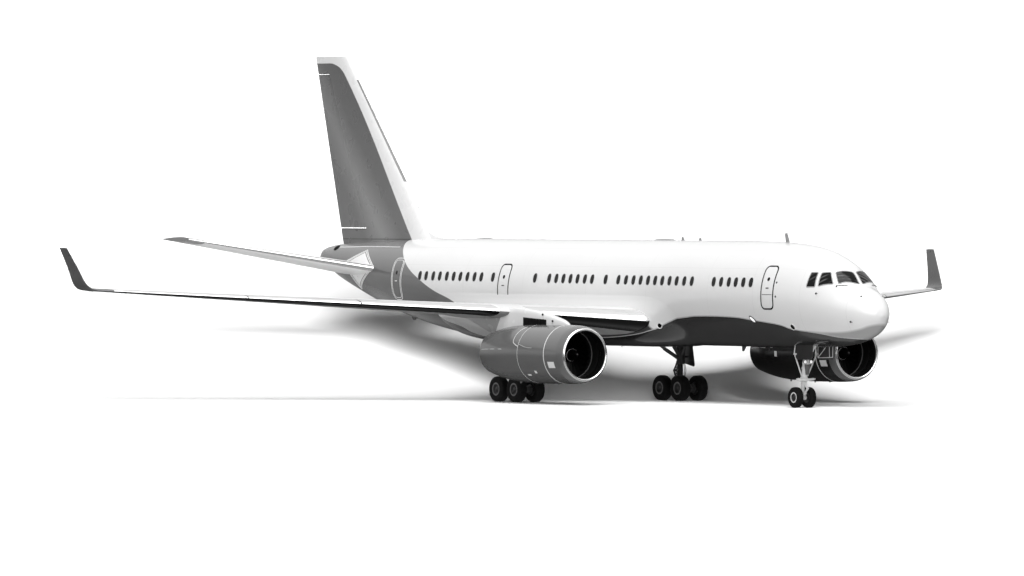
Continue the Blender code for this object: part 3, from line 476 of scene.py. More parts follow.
# The fin's grey starts aft of these (height, station) points and ends under its cap
FIN_EDGE = ((5.6, 31.8), (6.43, 32.46), (13.0, 37.68), (13.3, 38.0), (13.5, 38.4), (13.62, 39.2))
FIN_CAP = 13.6
FIN_HIGHLIGHT_BAND = (34.74, 1.12, 6.65)      # the painted highlight band, standing in for a reflection: a station, its slope and its height there
FIN_STRIP = (8.70, 12.9)            # heights between which the leading edge is dark
FIN_SHADOW_LINE = (6.36, 32.5)             # a painted shadow line along the fin's foot: its height and the station where it starts


def seams(nodes, value, places, width=0.012):
    """1 on thin lines where value is one of the places."""
    found = None
    for place in places:
        line = nodes.remap(nodes.apart(value, place), width * 0.5, width, 1, 0)
        found = line if found is None else nodes.math("MAXIMUM", found, line)
    return found


def livery_finish(name, chin_line, painted_shade_line=None):
    """White over dark, with a grey tail, thin skin joints and a light line between the colours; painted shade darkens
    the tail and belly toward the bottom, the nose's underside and the fairing below the wing.
    """
    nodes = Nodes(name, 0.22, Coat_Weight=0.6, Coat_Roughness=0.05)
    _, station, height = nodes.axes()
    chin = nodes.curve(station, chin_line)
    tail = nodes.product(nodes.below(height, nodes.curve(station, TAIL_LINE)), nodes.below(TAIL_START, station))
    if painted_shade_line:
        tail = nodes.product(tail, nodes.below(FAIRING_GREY, height))
        # painted shade under the wing: the fairing's white is painted dark grey below its line, darkest at the front
        level = nodes.remap(station, 15.0, 23.0, 0.06, 0.34)
        upper = nodes.mix(nodes.below(height, nodes.curve(station, painted_shade_line), 0.07), WHITE, nodes.grey(level))
    else:
        # painted shade: the nose's underside is painted grey below its line
        upper = nodes.mix(nodes.below(height, nodes.curve(station, NOSE_PAINTED_SHADE), 0.05), WHITE, tone(0.36))
    # painted shade: the grey tail and the dark belly are painted darker toward the bottom
    grey = nodes.shaded(GREY, nodes.remap(height, 3.0, 5.6, 0.62, 1.15))
    belly = nodes.shaded(DARK, nodes.remap(height, 2.45, 3.25, 0.16, 1.0))
    colour = nodes.mix(nodes.below(height, chin), nodes.mix(tail, upper, grey), belly)
    line = nodes.below(nodes.apart(height, nodes.math("ADD", chin, 0.02)), 0.016, 0.006)
    colour = nodes.mix(nodes.product(line, nodes.below(station, LINE_END)), colour, tone(0.5))
    joints = nodes.math("MAXIMUM", seams(nodes, station, SKIN_JOINTS), seams(nodes, height, LAP_JOINTS, 0.008))
    colour = nodes.mix(nodes.product(joints, 0.05 if painted_shade_line else 0.10), colour, tone(0.1))
    return nodes.wear(colour, 0.03, 0.9, 0.0)


def fin_finish():
    """Grey with a painted highlight, a diagonal lighter band standing in for a reflection, and painted shade darkening
    it toward the top, inside a white leading band and cap.
    """
    nodes = Nodes("fin_grey", 0.28, Coat_Weight=0.5, Coat_Roughness=0.08)
    _, station, height = nodes.axes()
    field = nodes.product(nodes.below(nodes.curve(height, FIN_EDGE), station), nodes.below(height, FIN_CAP))
    # painted highlight: a lighter diagonal band standing in for a reflection; painted shade: darker toward the top
    station_at, slope, height_at = FIN_HIGHLIGHT_BAND
    slant = nodes.math("SUBTRACT", height, nodes.product(nodes.math("SUBTRACT", station, station_at), slope))
    band = nodes.remap(nodes.apart(slant, height_at), 0.1, 1.7, 1.9, 1.0)
    grey = nodes.shaded(GREY, nodes.product(band, nodes.remap(height, 6.5, 13.5, 1.1, 0.55)))
    (foot, foot_station, *_), (top, top_station, *_) = FIN
    front = nodes.math("MULTIPLY_ADD", nodes.math("SUBTRACT", height, foot),
                       (top_station - foot_station) / (top - foot), foot_station + 0.05)
    low, high = FIN_STRIP
    strip = nodes.product(nodes.below(station, front, 0.01), nodes.remap(height, low, low + 0.02),
                          nodes.below(height, high))
    colour = nodes.mix(strip, nodes.mix(field, WHITE, grey), tone(0.04))
    # painted shadow: a dark line along the fin's foot
    line_height, line_start = FIN_SHADOW_LINE
    line = nodes.product(nodes.below(nodes.apart(height, line_height), 0.016, 0.006), nodes.below(line_start, station))
    return nodes.wear(nodes.mix(line, colour, tone(0.02)), 0.02, 0.8, 0.0, spread=0.04)


def paint_finish(name, level, roughness=0.3, **settings):
    nodes = Nodes(name, roughness, Coat_Weight=0.4, Coat_Roughness=0.08)
    return nodes.wear(tone(level), **settings)


def metal_finish(name, level, roughness, **settings):
    return Nodes(name, roughness, 1.0).wear(tone(level), **settings)


def edge_finish():
    """White tailplane with a polished leading edge."""
    nodes = Nodes("tailplane_white", 0.2)
    side, station, _ = nodes.axes()
    across = nodes.math("ABSOLUTE", side)
    (root, root_station, *_), (tip, tip_station, *_) = TAILPLANE
    edge = nodes.below(station, nodes.curve(across, ((root, root_station + 0.20), (tip, tip_station + 0.05))), 0.01)
    nodes.set("Metallic", edge)
    painted = nodes.mix(nodes.below(6.95, across, 0.03), WHITE, tone(0.22))
    return nodes.wear(nodes.mix(edge, painted, tone(0.45)), 0.03)


def cowl_finish():
    """Grey nacelle paint with painted shade: darker on the faces toward the fuselage, which shades them, and along the
    keel.
    """
    nodes = Nodes("cowl_grey", 0.22, Coat_Weight=0.4, Coat_Roughness=0.08)
    side, _, height = nodes.axes()
    # painted shade: darker on the faces toward the fuselage and along the keel
    inboard_shade = nodes.remap(nodes.math("ABSOLUTE", side), ENGINE_SIDE - 0.7, ENGINE_SIDE + 0.2, 0.09, 1.0)
    keel = nodes.remap(height, 0.85, 1.35, 0.35, 1.0)
    return nodes.wear(nodes.grey(nodes.product(inboard_shade, keel, 0.13)), 0.05)


def slat_finish():
    """Polished metal with painted light: pale where it faces up, a painted reflection of the sky, and dark where it
    faces down, painted shade.
    """
    nodes = Nodes("slat_metal", 0.22, 1.0)
    # painted light: pale facing up as a painted reflection of the sky, dark facing down as painted shade
    up = nodes.facing_up()
    nodes.set("Metallic", nodes.remap(up, 0.3, 0.85, 1.0, 0.25))
    return nodes.wear(nodes.mix(nodes.remap(up, -0.25, 0.2), tone(0.02), tone(0.58)), 0.03, bump=0.01)


def wing_finish():
    """Light paint on top and painted shade below: a darker grey where the surface faces down."""
    nodes = Nodes("wing_skin", 0.5, Specular_IOR_Level=0.12)
    # painted shade: darker grey where the surface faces down
    return nodes.wear(nodes.mix(nodes.remap(nodes.facing_up(), -0.15, 0.15), tone(0.24), tone(0.66)), 0.05)


def pylon_finish():
    """White ahead of a slanted line, grey behind it."""
    nodes = Nodes("pylon_white", 0.25, Coat_Weight=0.4, Coat_Roughness=0.08)
    _, station, height = nodes.axes()
    ahead = nodes.below(station, nodes.math("MULTIPLY_ADD", nodes.math("SUBTRACT", 3.55, height), 0.62, 16.2))
    return nodes.wear(nodes.mix(ahead, tone(0.34), WHITE), 0.03)


def lip_finish():
    """The intake lip: polished at its front edge, painted behind it, and painted near black inside as the shade in the
    intake.
    """
    nodes = Nodes("intake_lip", 0.2, Coat_Weight=0.3)
    side, station, height = nodes.axes()
    across = nodes.math("SUBTRACT", nodes.math("ABSOLUTE", side), ENGINE_SIDE)
    rise = nodes.math("SUBTRACT", height, ENGINE_HEIGHT)
    reach = nodes.math("SQRT", nodes.math("ADD", nodes.product(across, across), nodes.product(rise, rise)))
    edge = nodes.product(nodes.below(station, ENGINE_STATION + 0.055, 0.01), nodes.below(0.935, reach, 0.01))
    nodes.set("Metallic", edge)
    # painted shade: near black inside the lip, where the intake is in shade
    painted = nodes.mix(nodes.below(reach, 0.96, 0.02), tone(0.12), tone(0.004))
    return nodes.wear(nodes.mix(edge, painted, tone(0.85)), 0.05)


def pane_finish():
    """Dark cockpit glass with painted reflections: slanted light streaks in patches."""
    nodes = Nodes("pane_glass", 0.1, Specular_IOR_Level=0.14)
    side, station, height = nodes.axes()
    # painted reflections: slanted light streaks in patches
    slant = nodes.math("MULTIPLY_ADD", height, 0.75, nodes.math("ADD", station, nodes.product(side, 0.6)))
    painted_streaks = nodes.remap(nodes.math("SINE", nodes.product(slant, 26.0)), 0.1, 1.0)
    patches = nodes.remap(nodes.noise(5.0, 1.0), 0.42, 0.66)
    return nodes.wear(nodes.mix(nodes.product(painted_streaks, patches), tone(0.003), tone(0.09)), 0.1, 2.0, 0.0)


# Each finish is a material and the slot it usually goes into
livery = livery_finish("livery", CHIN_LINE), "white_paint"
fairing_livery = livery_finish("fairing_livery", FAIRING_LINE, FAIRING_PAINTED_SHADE), "grey_paint"
fin_grey = fin_finish(), "grey_paint"
white_paint = paint_finish("white_paint", 0.80, 0.25), "white_paint"
grey_paint = paint_finish("grey_paint", 0.15, 0.28), "grey_paint"
winglet_paint = paint_finish("winglet_grey", 0.085, 0.3), "grey_paint"
pylon_paint = pylon_finish(), "white_paint"
dark_paint = paint_finish("dark_paint", 0.022, 0.32), "dark_paint"
cowl_paint = cowl_finish(), "grey_paint"
wing_paint = wing_finish(), "wing_skin"
slat_metal = slat_finish(), "bare_alloy"
alloy = metal_finish("bare_alloy", 0.42, 0.16, contrast=0.04, bump=0.01), "bare_alloy"
lip_metal = lip_finish(), "bare_alloy"
engine_metal = metal_finish("engine_metal", 0.22, 0.35, contrast=0.15), "engine_metal"
# near black: painted shade for the fan deep in the intake and for the main gear's piston
fan_metal = metal_finish("fan_metal", 0.035, 0.35, contrast=0.12), "fan_metal"
gear_steel = metal_finish("gear_steel", 0.30, 0.4, contrast=0.12), "gear_steel"
tail_paint = edge_finish(), "white_paint"
# near black: painted shade for the main gear, which stands in the shade under the wing; the probes use it too
dark_steel_gear_shade = paint_finish("gear_dark", 0.035, 0.45, contrast=0.15), "gear_steel"
hub_metal = metal_finish("hub_metal", 0.10, 0.45, contrast=0.15), "gear_steel"
dull_ring = paint_finish("wheel_ring", 0.16, 0.5, contrast=0.1), "gear_steel"
white_gear = paint_finish("white_gear", 0.78, 0.35, contrast=0.06), "white_gear"
hose_rubber = Nodes("hose", 0.6).wear(tone(0.02), 0.15, 3.0, 0.05), "tyre"
tyre_rubber = Nodes("tyre", 0.85, Specular_IOR_Level=0.2).wear(tone(0.007), 0.25, 3.0, 0.15, 160.0), "tyre"
glass = Nodes("window_glass", 0.12, Specular_IOR_Level=0.25).wear(tone(0.006), 0.2, 2.0, 0.0), "window_glass"
pane_glass = pane_finish(), "window_glass"
# near black: painted shade inside the intake
duct_dark = Nodes("duct_lining", 0.8, Specular_IOR_Level=0.08).wear(tone(0.006), 0.2, 2.0, 0.03), "dark_paint"
lamp_glass = Nodes("lamp_glass", 0.1, Coat_Weight=1.0, Emission_Color=tone(1.0),
                   Emission_Strength=0.6).wear(tone(0.8)), "lamp_glass"
seal = Nodes("door_seal", 0.9, Specular_IOR_Level=0.1).wear(tone(0.006), 0.15, 2.0, 0.05), "dark_paint"
frame_paint = paint_finish("pane_frame", 0.30, 0.3), "grey_paint"


# ---------- Fuselage ----------

section_rows = relaxed(fine(FUSELAGE, 14), 8)


def section(station):
    """Half width, top, widest line and bottom at stations."""
    return look_up(section_rows, station)


def skin(station, angle):
    """Points on the fuselage at stations and angles from the port side up."""
    half, top, widest, bottom = section(station)
    rise = np.where(np.sin(angle) > 0, top - widest, widest - bottom)
    return np.stack((half * np.cos(angle), station + 0 * angle, widest + rise * np.sin(angle)), -1)


def skin_normal(station, angle):
    along = skin(station + 0.03, angle) - skin(station - 0.03, angle)
    around = skin(station, angle + 0.01) - skin(station, angle - 0.01)
    normal = np.cross(along, around)
    return normal / np.linalg.norm(normal, axis=-1, keepdims=True)


def flank(side, station, height):
    """Points and normals of the fuselage's side at stations and heights."""
    station, height = np.asarray(station, float), np.asarray(height, float)
    _, top, widest, bottom = section(station)
    rise = np.where(height > widest, top - widest, widest - bottom)
    angle = np.arcsin(np.clip((height - widest) / rise, -1, 1))
    angle = angle if side > 0 else pi - angle
    return skin(station, angle), skin_normal(station, angle)


def spot(side, station, height):
    """One point of the fuselage's side and its normal."""
    points, normals = flank(side, [station], [height])
    return points[0], normals[0]


def pad(side, outline, rings):
    """A closed patch on the fuselage's side: rings of (share of the outline, stand)."""
    outline = np.array(outline, float)
    middle = outline.mean(0)
    made = []
    for share, stand in rings:
        at = middle + (outline - middle) * share
        points, normals = flank(side, at[:, 0], at[:, 1])
        made.append(points + normals * stand)
    return loft(made)


# Rings of patches: (share of the outline, stand)
FLUSH = tuple((share, 0.006) for share in (0.8, 0.6, 0.4, 0.2, 0.0))
PANEL = ((0.0, -0.05), (1.0, -0.05), (1.0, 0.003), (0.985, 0.006)) + FLUSH
PANE = ((0, -0.03), (1, -0.03), (1, 0.004)) + FLUSH
WINDOW = ((0, -0.02), (1, -0.02), (1, 0.003), (0.5, 0.004), (0, 0.004))
BUTTON = ((0, -0.02), (1, -0.02), (1, 0.010), (0.5, 0.011), (0, 0.011))


def rim(side, outline, profile):
    """A raised ring along an outline on the fuselage's side."""
    outline = np.array(outline, float)
    return sweep(*flank(side, outline[:, 0], outline[:, 1]), profile, closed=True)


def band(half_width, height, sunk=0.004):
    """A strip's outline: flat, with sloped edges."""
    return ((-half_width, -sunk), (half_width, -sunk), (half_width, height * 0.4), (half_width * 0.6, height),
            (-half_width * 0.6, height), (-half_width, height * 0.4))


def oval(station, height, width, tall, power=1.0, count=28):
    angle = circle(count)
    return np.stack((station + width / 2 * squared(np.cos(angle), power),
                     height + tall / 2 * squared(np.sin(angle), power)), -1)


def rounded(station, width, low, high, radius, steps=6):
    """A rectangle with round corners, its sides cut into short steps."""
    made = []
    for corner, (across, level) in enumerate(((1, 1), (-1, 1), (-1, -1), (1, -1))):
        centre = station + across * (width / 2 - radius), high - radius if level > 0 else low + radius
        for angle in np.radians(90 * corner + np.linspace(0, 90, steps)):
            made.append((centre[0] + radius * cos(angle), centre[1] + radius * sin(angle)))
    made = np.array(made)
    spread = []
    for first, second in zip(made, np.roll(made, -1, 0)):
        count = max(1, int(np.linalg.norm(second - first) / 0.15))
        spread += [first + (second - first) * step / count for step in range(count)]
    return np.array(spread)


def build_fuselage():
    angle = circle(SKIN_AROUND)
    bay_front, bay_rear, bay_half, bay_roof = NOSE_BAY
    bay = (-bay_half, bay_front, BAY_BELOW), (bay_half, bay_rear, bay_roof)
    for name, front, rear in FUSELAGE_PARTS:
        if front < 2:
            nose = np.linspace(sqrt(front), sqrt(min(rear, 4.8)), 28 if front == 0 else 40)**2
            stations = np.concatenate((nose, np.arange(5.0, rear, 0.2), [rear] if rear > 4.9 else []))
        else:
            stations = np.linspace(front, rear, int((rear - front) / 0.22) + 2)
        rings = [skin(np.full(SKIN_AROUND, station), angle) for station in stations]
        skinned(name, [loft(rings)], livery, slot="grey_paint" if name == "tail_cone" else None,
                bay=bay if name == "forward_fuselage" else None)


def build_windows():
    profile = ((-0.004, -0.01), (-0.004, 0.006), (0.002, 0.008), (0.008, 0.005), (0.011, -0.01))
    for side_name, side in SIDES:
        outlines = [oval(station, WINDOW_HEIGHT + (station - 6) * WINDOW_RISE, *WINDOW_SIZE, 0.8)
                    for station in WINDOW_STATIONS]
        piece("cabin_windows_" + side_name, [pad(side, outline, WINDOW) for outline in outlines], glass)
        piece("window_rims_" + side_name, [rim(side, outline, profile) for outline in outlines], frame_paint)


def build_doors():
    for name, station, width, low, high, radius in DOORS:
        rear = name == "door_rear"
        for side_name, side in SIDES:
            door = f"{name}_{side_name}_"
            outline = rounded(station, width - 0.05, low + 0.025, high - 0.025, radius)
            piece(door + "panel", [pad(side, outline, PANEL)], livery, slot="grey_paint" if rear else None,
                  replaces=[door[:-1]])
            edge = rounded(station, width, low, high, radius + 0.02)
            lines = [rim(side, edge, band(0.014 if rear else 0.032, 0.009))]
            handle = [pad(side, rounded(station, 0.18, high - 0.86, high - 0.82, 0.02, 4), BUTTON)]
            if rear:
                outer = rounded(station, width + 0.16, low - 0.08, high + 0.08, radius + 0.08)
                lines.append(rim(side, outer, band(0.018, 0.006)))
            if name == "door_front":
                handle.append(pad(side, rounded(station, width - 0.12, high - 1.10, high - 1.08, 0.009, 3), BUTTON))
            finish = white_paint if rear else seal
            piece(door + "seal", lines, finish, slot="dark_paint")
            piece(door + "light", [pad(side, oval(station, high - 0.50, 0.15, 0.15, count=20), BUTTON)], glass)
            piece(door + "handle", handle, finish, slot="dark_paint")


def build_panes():
    """Cockpit glass: each pane is a patch of the fuselage between four corners, with a frame round it."""
    panes, frames = [], []
    for side in (1, -1):
        for corners in PANES:
            corners = np.array(corners)
            half, top, widest, _ = section(corners[:, 0])
            angles = np.arctan2((corners[:, 2] - widest) / (top - widest), corners[:, 1] / half)
            outline = edge_points(np.stack((corners[:, 0], angles), -1), np.linspace(0.06, 0.94, 9))
            middle = outline.mean(0)

            def ring(share):
                station, angle = (middle + (outline - middle) * share).T
                angle = angle if side > 0 else pi - angle
                return skin(station, angle), skin_normal(station, angle)

            rings = [(ring(share), stand) for share, stand in PANE]
            panes.append(loft([points + normals * stand for (points, normals), stand in rings]))
            frames.append(sweep(*ring(1), band(0.020, 0.012), closed=True))
    piece("cockpit_glass", panes, pane_glass)
    piece("cockpit_frames", frames, frame_paint)


fairing_rows = relaxed(fine(FAIRING, 14), 20)


def fairing_half(station):
    """The fairing's port half section at a station, from its top edge to the keel."""
    outline = fine(FAIRING_OUTLINE, 6)
    half_width, _, widest, bottom = section(station)
    reach = np.hypot(outline[:, 0] / (half_width - FAIRING_SUNK),
                     (outline[:, 1] - widest) / (widest - bottom - FAIRING_SUNK))
    sunk = np.stack((outline[:, 0] / reach, widest + (outline[:, 1] - widest) / reach), -1)
    stand, = look_up(fairing_rows, station)
    return sunk + (outline - sunk) * np.clip(stand, 0, 1)


def build_fairing():
    rings = []
    for station in fairing_rows[:, 0]:
        half = fairing_half(station)
        ring = np.concatenate((half, (half * (-1, 1))[-2::-1]))
        rings.append(np.insert(ring, 1, station, axis=1))
    piece("belly_fairing", [loft(rings)], fairing_livery, replaces=["wing_body_fairing"])


# ---------- Wings and tail ----------

def foil_thickness(share):
    """Half the thickness of a classic airfoil section of unit thickness."""
    return 5 * (0.2969 * np.sqrt(share) - 0.1260 * share - 0.3516 * share**2 + 0.2843 * share**3
                - 0.1036 * share**4)


def foil_point(foil, span, share, surface):
    """(station, offset) on a section: surface is 1 above, -1 below and 0 on the mean line."""
    front, offset, chord, thickness, drop = look_up(foil, span)
    share = np.asarray(share, float)
    mean = offset - drop * share + 4 * CAMBER * chord * share * (1 - share) * (foil is WING)
    half = chord * thickness * foil_thickness(share) + EDGE_THICKNESS / 2 * share
    return np.stack((front + chord * share, mean + surface * half * (share > 0)), -1)


def shares_between(front, rear):
    """Shares of the chord from rear to front, closer together near the leading edge."""
    dense = 1 - np.cos(np.linspace(0, pi / 2, 40))
    return np.array([rear] + [share for share in dense if front + 0.004 < share < rear - 0.004][::-1])


def put(foil, side, span, flat):
    """Section points (station, offset) at a span, in the aircraft's axes."""
    span = np.full(len(flat), span, float)
    if foil is FIN:
        return np.stack((flat[:, 1], flat[:, 0], span), -1)
    return np.stack((side * span, flat[:, 0], flat[:, 1]), -1)


def foil_ring(foil, side, span, front=0.0, rear=1.0, dent=None):
    """A closed section between two shares of the chord; dent is (front, rear, depth) sunk into its top."""
    shares = shares_between(front, rear)
    upper = foil_point(foil, span, shares, 1)
    if dent:
        dent_front, dent_rear, depth = dent
        ahead, behind = shares[shares < dent_front - 0.01], shares[shares > dent_rear + 0.01]
        corners = foil_point(foil, span, np.array((dent_rear, dent_rear, dent_front, dent_front)), 1)
        corners[1:3, 1] -= depth
        upper = np.concatenate((foil_point(foil, span, behind, 1), corners, foil_point(foil, span, ahead, 1)))
    edge = [foil_point(foil, span, np.array([front]), 1), foil_point(foil, span, np.array([front]), -1)]
    edge = edge if front > 0 else edge[:1]
    lower = foil_point(foil, span, shares[::-1], -1)
    return put(foil, side, span, np.concatenate([upper] + edge + [lower]))


def strip(foil, side, low, high, front=0.0, rear=1.0, dent=None):
    """A stretch of a wing between two spans and two shares of the chord."""
    spans = [low] + [row[0] for row in foil if low + 0.01 < row[0] < high - 0.01] + [high]
    spans = np.unique(np.concatenate([np.linspace(a, b, 6) for a, b in zip(spans, spans[1:])]))
    return loft([foil_ring(foil, side, span, front, rear, dent) for span in spans])


def hinge_point(foil, span, share):
    """(station, offset, half thickness) on a control surface's hinge line."""
    (station, upper), (_, lower) = foil_point(foil, span, share, 1), foil_point(foil, span, share, -1)
    return station, (upper + lower) / 2, (upper - lower) / 2


def control_surface(foil, side, low, high, share, inner=SWING_CLEARANCE, outer=SWING_CLEARANCE):
    """A round nose about the hinge line, then the foil to its rear edge."""
    rings = []
    for span in np.linspace(low + inner, high - outer, 8):
        station, middle, radius = hinge_point(foil, span, share)
        shares = np.linspace(1, share, 9)
        angles = np.radians(np.linspace(70, -70, 9))
        nose = np.stack((station - radius * 0.97 * np.cos(angles), middle + radius * 0.97 * np.sin(angles)), -1)
        rings.append(put(foil, side, span, np.concatenate((
            foil_point(foil, span, shares, 1), nose, foil_point(foil, span, shares[::-1], -1)))))
    return loft(rings)


def cove_strip(foil, side, low, high, front, share):
    """The fixed part ahead of a control surface, which ends just short of its nose."""
    rings = []
    for span in np.linspace(low, high, 8):
        station, _, radius = hinge_point(foil, span, share)
        near = foil_point(foil, span, 0.0, 0)[0]
        chord = foil_point(foil, span, 1.0, 0)[0] - near
        rings.append(foil_ring(foil, side, span, front, (station - radius - RUNNING_GAP - near) / chord))
    count = min(len(ring) for ring in rings)
    return loft([ring if len(ring) == count else resample(ring, count) for ring in rings])


def resample(ring, count):
    """The ring with its spare points next to the rear edge left out."""
    spare = (len(ring) - count) // 2
    return np.concatenate((ring[:1], ring[1 + spare:len(ring) - 1 - spare], ring[-1:]))


def end_webs(foil, side, low, high, share):
    """Thin plates on the fixed side, in the slots at a control surface's ends."""
    made = []
    for span, inward in ((low, 1), (high, -1)):
        station, middle, radius = hinge_point(foil, span, share)
        start = station - radius * 0.5
        tail, last = foil_point(foil, span, 0.985, 0)
        spans = [span + across * inward for across in (-0.01, END_CLEARANCE - 0.004)]
        rings = []
        for step in np.linspace(0, 1, 5):
            at, offset = start + (tail - start) * step, middle + (last - middle) * step
            rings.append([put(foil, side, spans[end], np.array([(at, offset + half)]))[0]
                          for end, half in ((0, -0.011), (1, -0.011), (1, 0.011), (0, 0.011))])
        made.append(loft(rings))
    return made


# The fixed wing's strips: two spans, two shares of the chord
WING_STRIPS = ((1.86, 2.25, 0.105, 1.0), (2.25, 2.55, 0.105, 0.79), (2.55, 5.95, 0.105, 0.79), (5.95, 6.95, 0, 0.79),
               (6.95, 7.30, 0.13, 0.79), (7.30, 7.50, 0.13, 1), (7.50, 7.80, 0.13, 0.735), (7.80, 13.80, 0.13, 0.735),
               (13.80, 14.10, 0.13, 0.735), (14.10, 14.35, 0.13, 1))


def build_wings():
    for side_name, side in SIDES:
        low, _, front, rear, depth = SPOILER
        dent = (front - 0.0005, rear + 0.004, depth + RUNNING_GAP)
        parts = [strip(WING, side, *row, dent if row[0] == low else None) for row in WING_STRIPS]
        low, high, share = AILERON
        parts += [cove_strip(WING, side, low, high, 0.13, share), strip(WING, side, high, TIP_START, 0.13, 1)]
        parts += end_webs(WING, side, low, high, share)
        piece("wing_box_" + side_name, parts, wing_paint, replaces=["wing_" + side_name])
        piece("wing_tip_" + side_name, [strip(WING, side, TIP_START, TIP_END)], winglet_paint)
        piece("wing_root_edge_" + side_name, [strip(WING, side, 1.93, 2.545, 0, 0.105)], slat_metal)
        for name, share, spans in SLATS:
            skinned(f"{name}_{side_name}", [strip(WING, side, low, high, 0, share - 0.0004) for low, high in spans],
                    slat_metal)
        for name, low, high, share in FLAPS:
            skinned(f"{name}_{side_name}", [strip(WING, side, low, high, share + 0.0012, 1)], wing_paint)
        name = "aileron_" + side_name
        skinned(name, [control_surface(WING, side, *AILERON)], wing_paint, body=name)
        build_spoiler("spoiler_" + side_name, side)
        build_winglet("winglet_" + side_name, side)


def build_spoiler(name, side):
    low, high, front, rear, depth = SPOILER
    rings = []
    for span in np.linspace(low + END_CLEARANCE / 2, high - END_CLEARANCE / 2, 8):
        top = foil_point(WING, span, np.linspace(rear, front, 6), 1)
        bottom = foil_point(WING, span, np.array((front, rear)), 1) - (0, depth)
        bottom[1, 1] += depth * 0.4
        rings.append(put(WING, side, span, np.concatenate((top, bottom))))
    skinned(name, [loft(rings)], wing_paint, body=name)


def build_winglet(name, side):
    shares = np.linspace(0, 1, 16)**1.6
    rings = []
    for across, station, height, chord, thickness, degrees in fine(WINGLET, 8):
        lean = radians(degrees)
        ring = []
        for share, surface in [(share, 1) for share in shares[::-1]] + [(share, -1) for share in shares[1:]]:
            half = (thickness * foil_thickness(share) + 0.006 * share) * surface
            ring.append((side * (across - half * cos(lean)), station + chord * share, height + half * sin(lean)))
        rings.append(ring)
    skinned(name, [loft(rings)], winglet_paint)


# The fillet ahead of the fin: station, half width, foot, top
FILLET = ((30.5, 0.03, 6.2, 6.43), (31.0, 0.06, 6.2, 6.50), (31.45, 0.09, 6.2, 6.64), (31.75, 0.11, 6.2, 6.86),
          (32.2, 0.12, 6.2, 7.25))
FILLET_ACROSS = (1.6, 1, 0.5, 0, -0.5, -1, -1.6)
SEAL_GAP = 0.035         # left open between the rudder and the thin seals at its ends


def hinged_foil(foil, side, low, high, share):
    """A whole fin or tailplane round the bay of its control surface."""
    return [strip(foil, side, foil[0][0], low), cove_strip(foil, side, low, high, 0, share),
            strip(foil, side, high, foil[1][0])] + end_webs(foil, side, low, high, share)


def build_tail():
    fillet = []
    for station, half, foot, top in fine(FILLET, 6):
        levels = (foot, (foot + top) / 2, top - 0.02, top, top - 0.02, (foot + top) / 2, foot)
        fillet.append([(half * across, station, level) for across, level in zip(FILLET_ACROSS, levels)])
    low, high, share = RUDDER
    skinned("fin", hinged_foil(FIN, 1, *RUDDER) + [loft(fillet)], fin_grey)
    seals = []
    for heights in ((low - 0.02, low + RUDDER_ENDS[0] - SEAL_GAP), (high - RUDDER_ENDS[1] + SEAL_GAP, high + 0.02)):
        rings = []
        for height in heights:
            front, rear = hinge_point(FIN, height, share)[0], foil_point(FIN, height, 1.0, 0)[0] - 0.03
            rings.append(put(FIN, 1, height, np.array(((front, 0.01), (rear, 0.01), (rear, -0.01), (front, -0.01)))))
        seals.append(loft(rings))
    piece("rudder_seals", seals, fin_grey)
    skinned("rudder", [control_surface(FIN, 1, *RUDDER, *RUDDER_ENDS)], fin_grey, body="rudder")
    for side_name, side in SIDES:
        skinned("tailplane_" + side_name, hinged_foil(TAILPLANE, side, *ELEVATOR), tail_paint)
        name = "elevator_" + side_name
        skinned(name, [control_surface(TAILPLANE, side, *ELEVATOR)], white_paint, body=name)


# ---------- Engines ----------

AFT = (0, 1, 0)


def cowl_radius(distance):
    return look_up(COWL_OUTER, distance)[0]


def cowl_patch(centre, near, far, low, high, stand=0.004):
    """A closed patch of the nacelle on its starboard side, between two distances and two angles in degrees."""
    angle = np.radians(np.linspace(low, high, 8))
    rings = []
    for distance in np.linspace(near, far, 8):
        radius = cowl_radius(distance)
        ring = [(-(radius + stand) * cos(a), distance, (radius + stand) * sin(a)) for a in angle]
        ring += [(-(radius - 0.01) * cos(a), distance, (radius - 0.01) * sin(a)) for a in angle[::-1]]
        rings.append(np.array(ring) + centre)
    return loft(rings)


def cowl_ring(centre, distance, half_width, stand):
    profile = [(distance + half_width * across, cowl_radius(distance) + rise) for across, rise in (
        (-1, -0.01), (-1, stand * 0.5), (-0.5, stand), (0.5, stand), (1, stand * 0.5), (1, -0.01))]
    return turned(profile, centre, AFT, 128)


# Patches of the nacelle: near and far distance, low and high angle
COWL_MARKS = ((0.60, 1.02, -27, -14), (2.02, 2.16, -40, -34), (2.55, 2.78, -47, -43))
PORT_COWL_MARKS = (COWL_MARKS[0], (3.92, 4.10, -9, 2))
COWL_RINGS = ((1.24, 0.022, 0.006), (3.08, 0.009, 0.004))     # distance, half width, stand; the second starboard only
LINER_RING = ((0.93, 0.945), (0.93, 0.915), (0.955, 0.912), (0.98, 0.915), (0.98, 0.945))


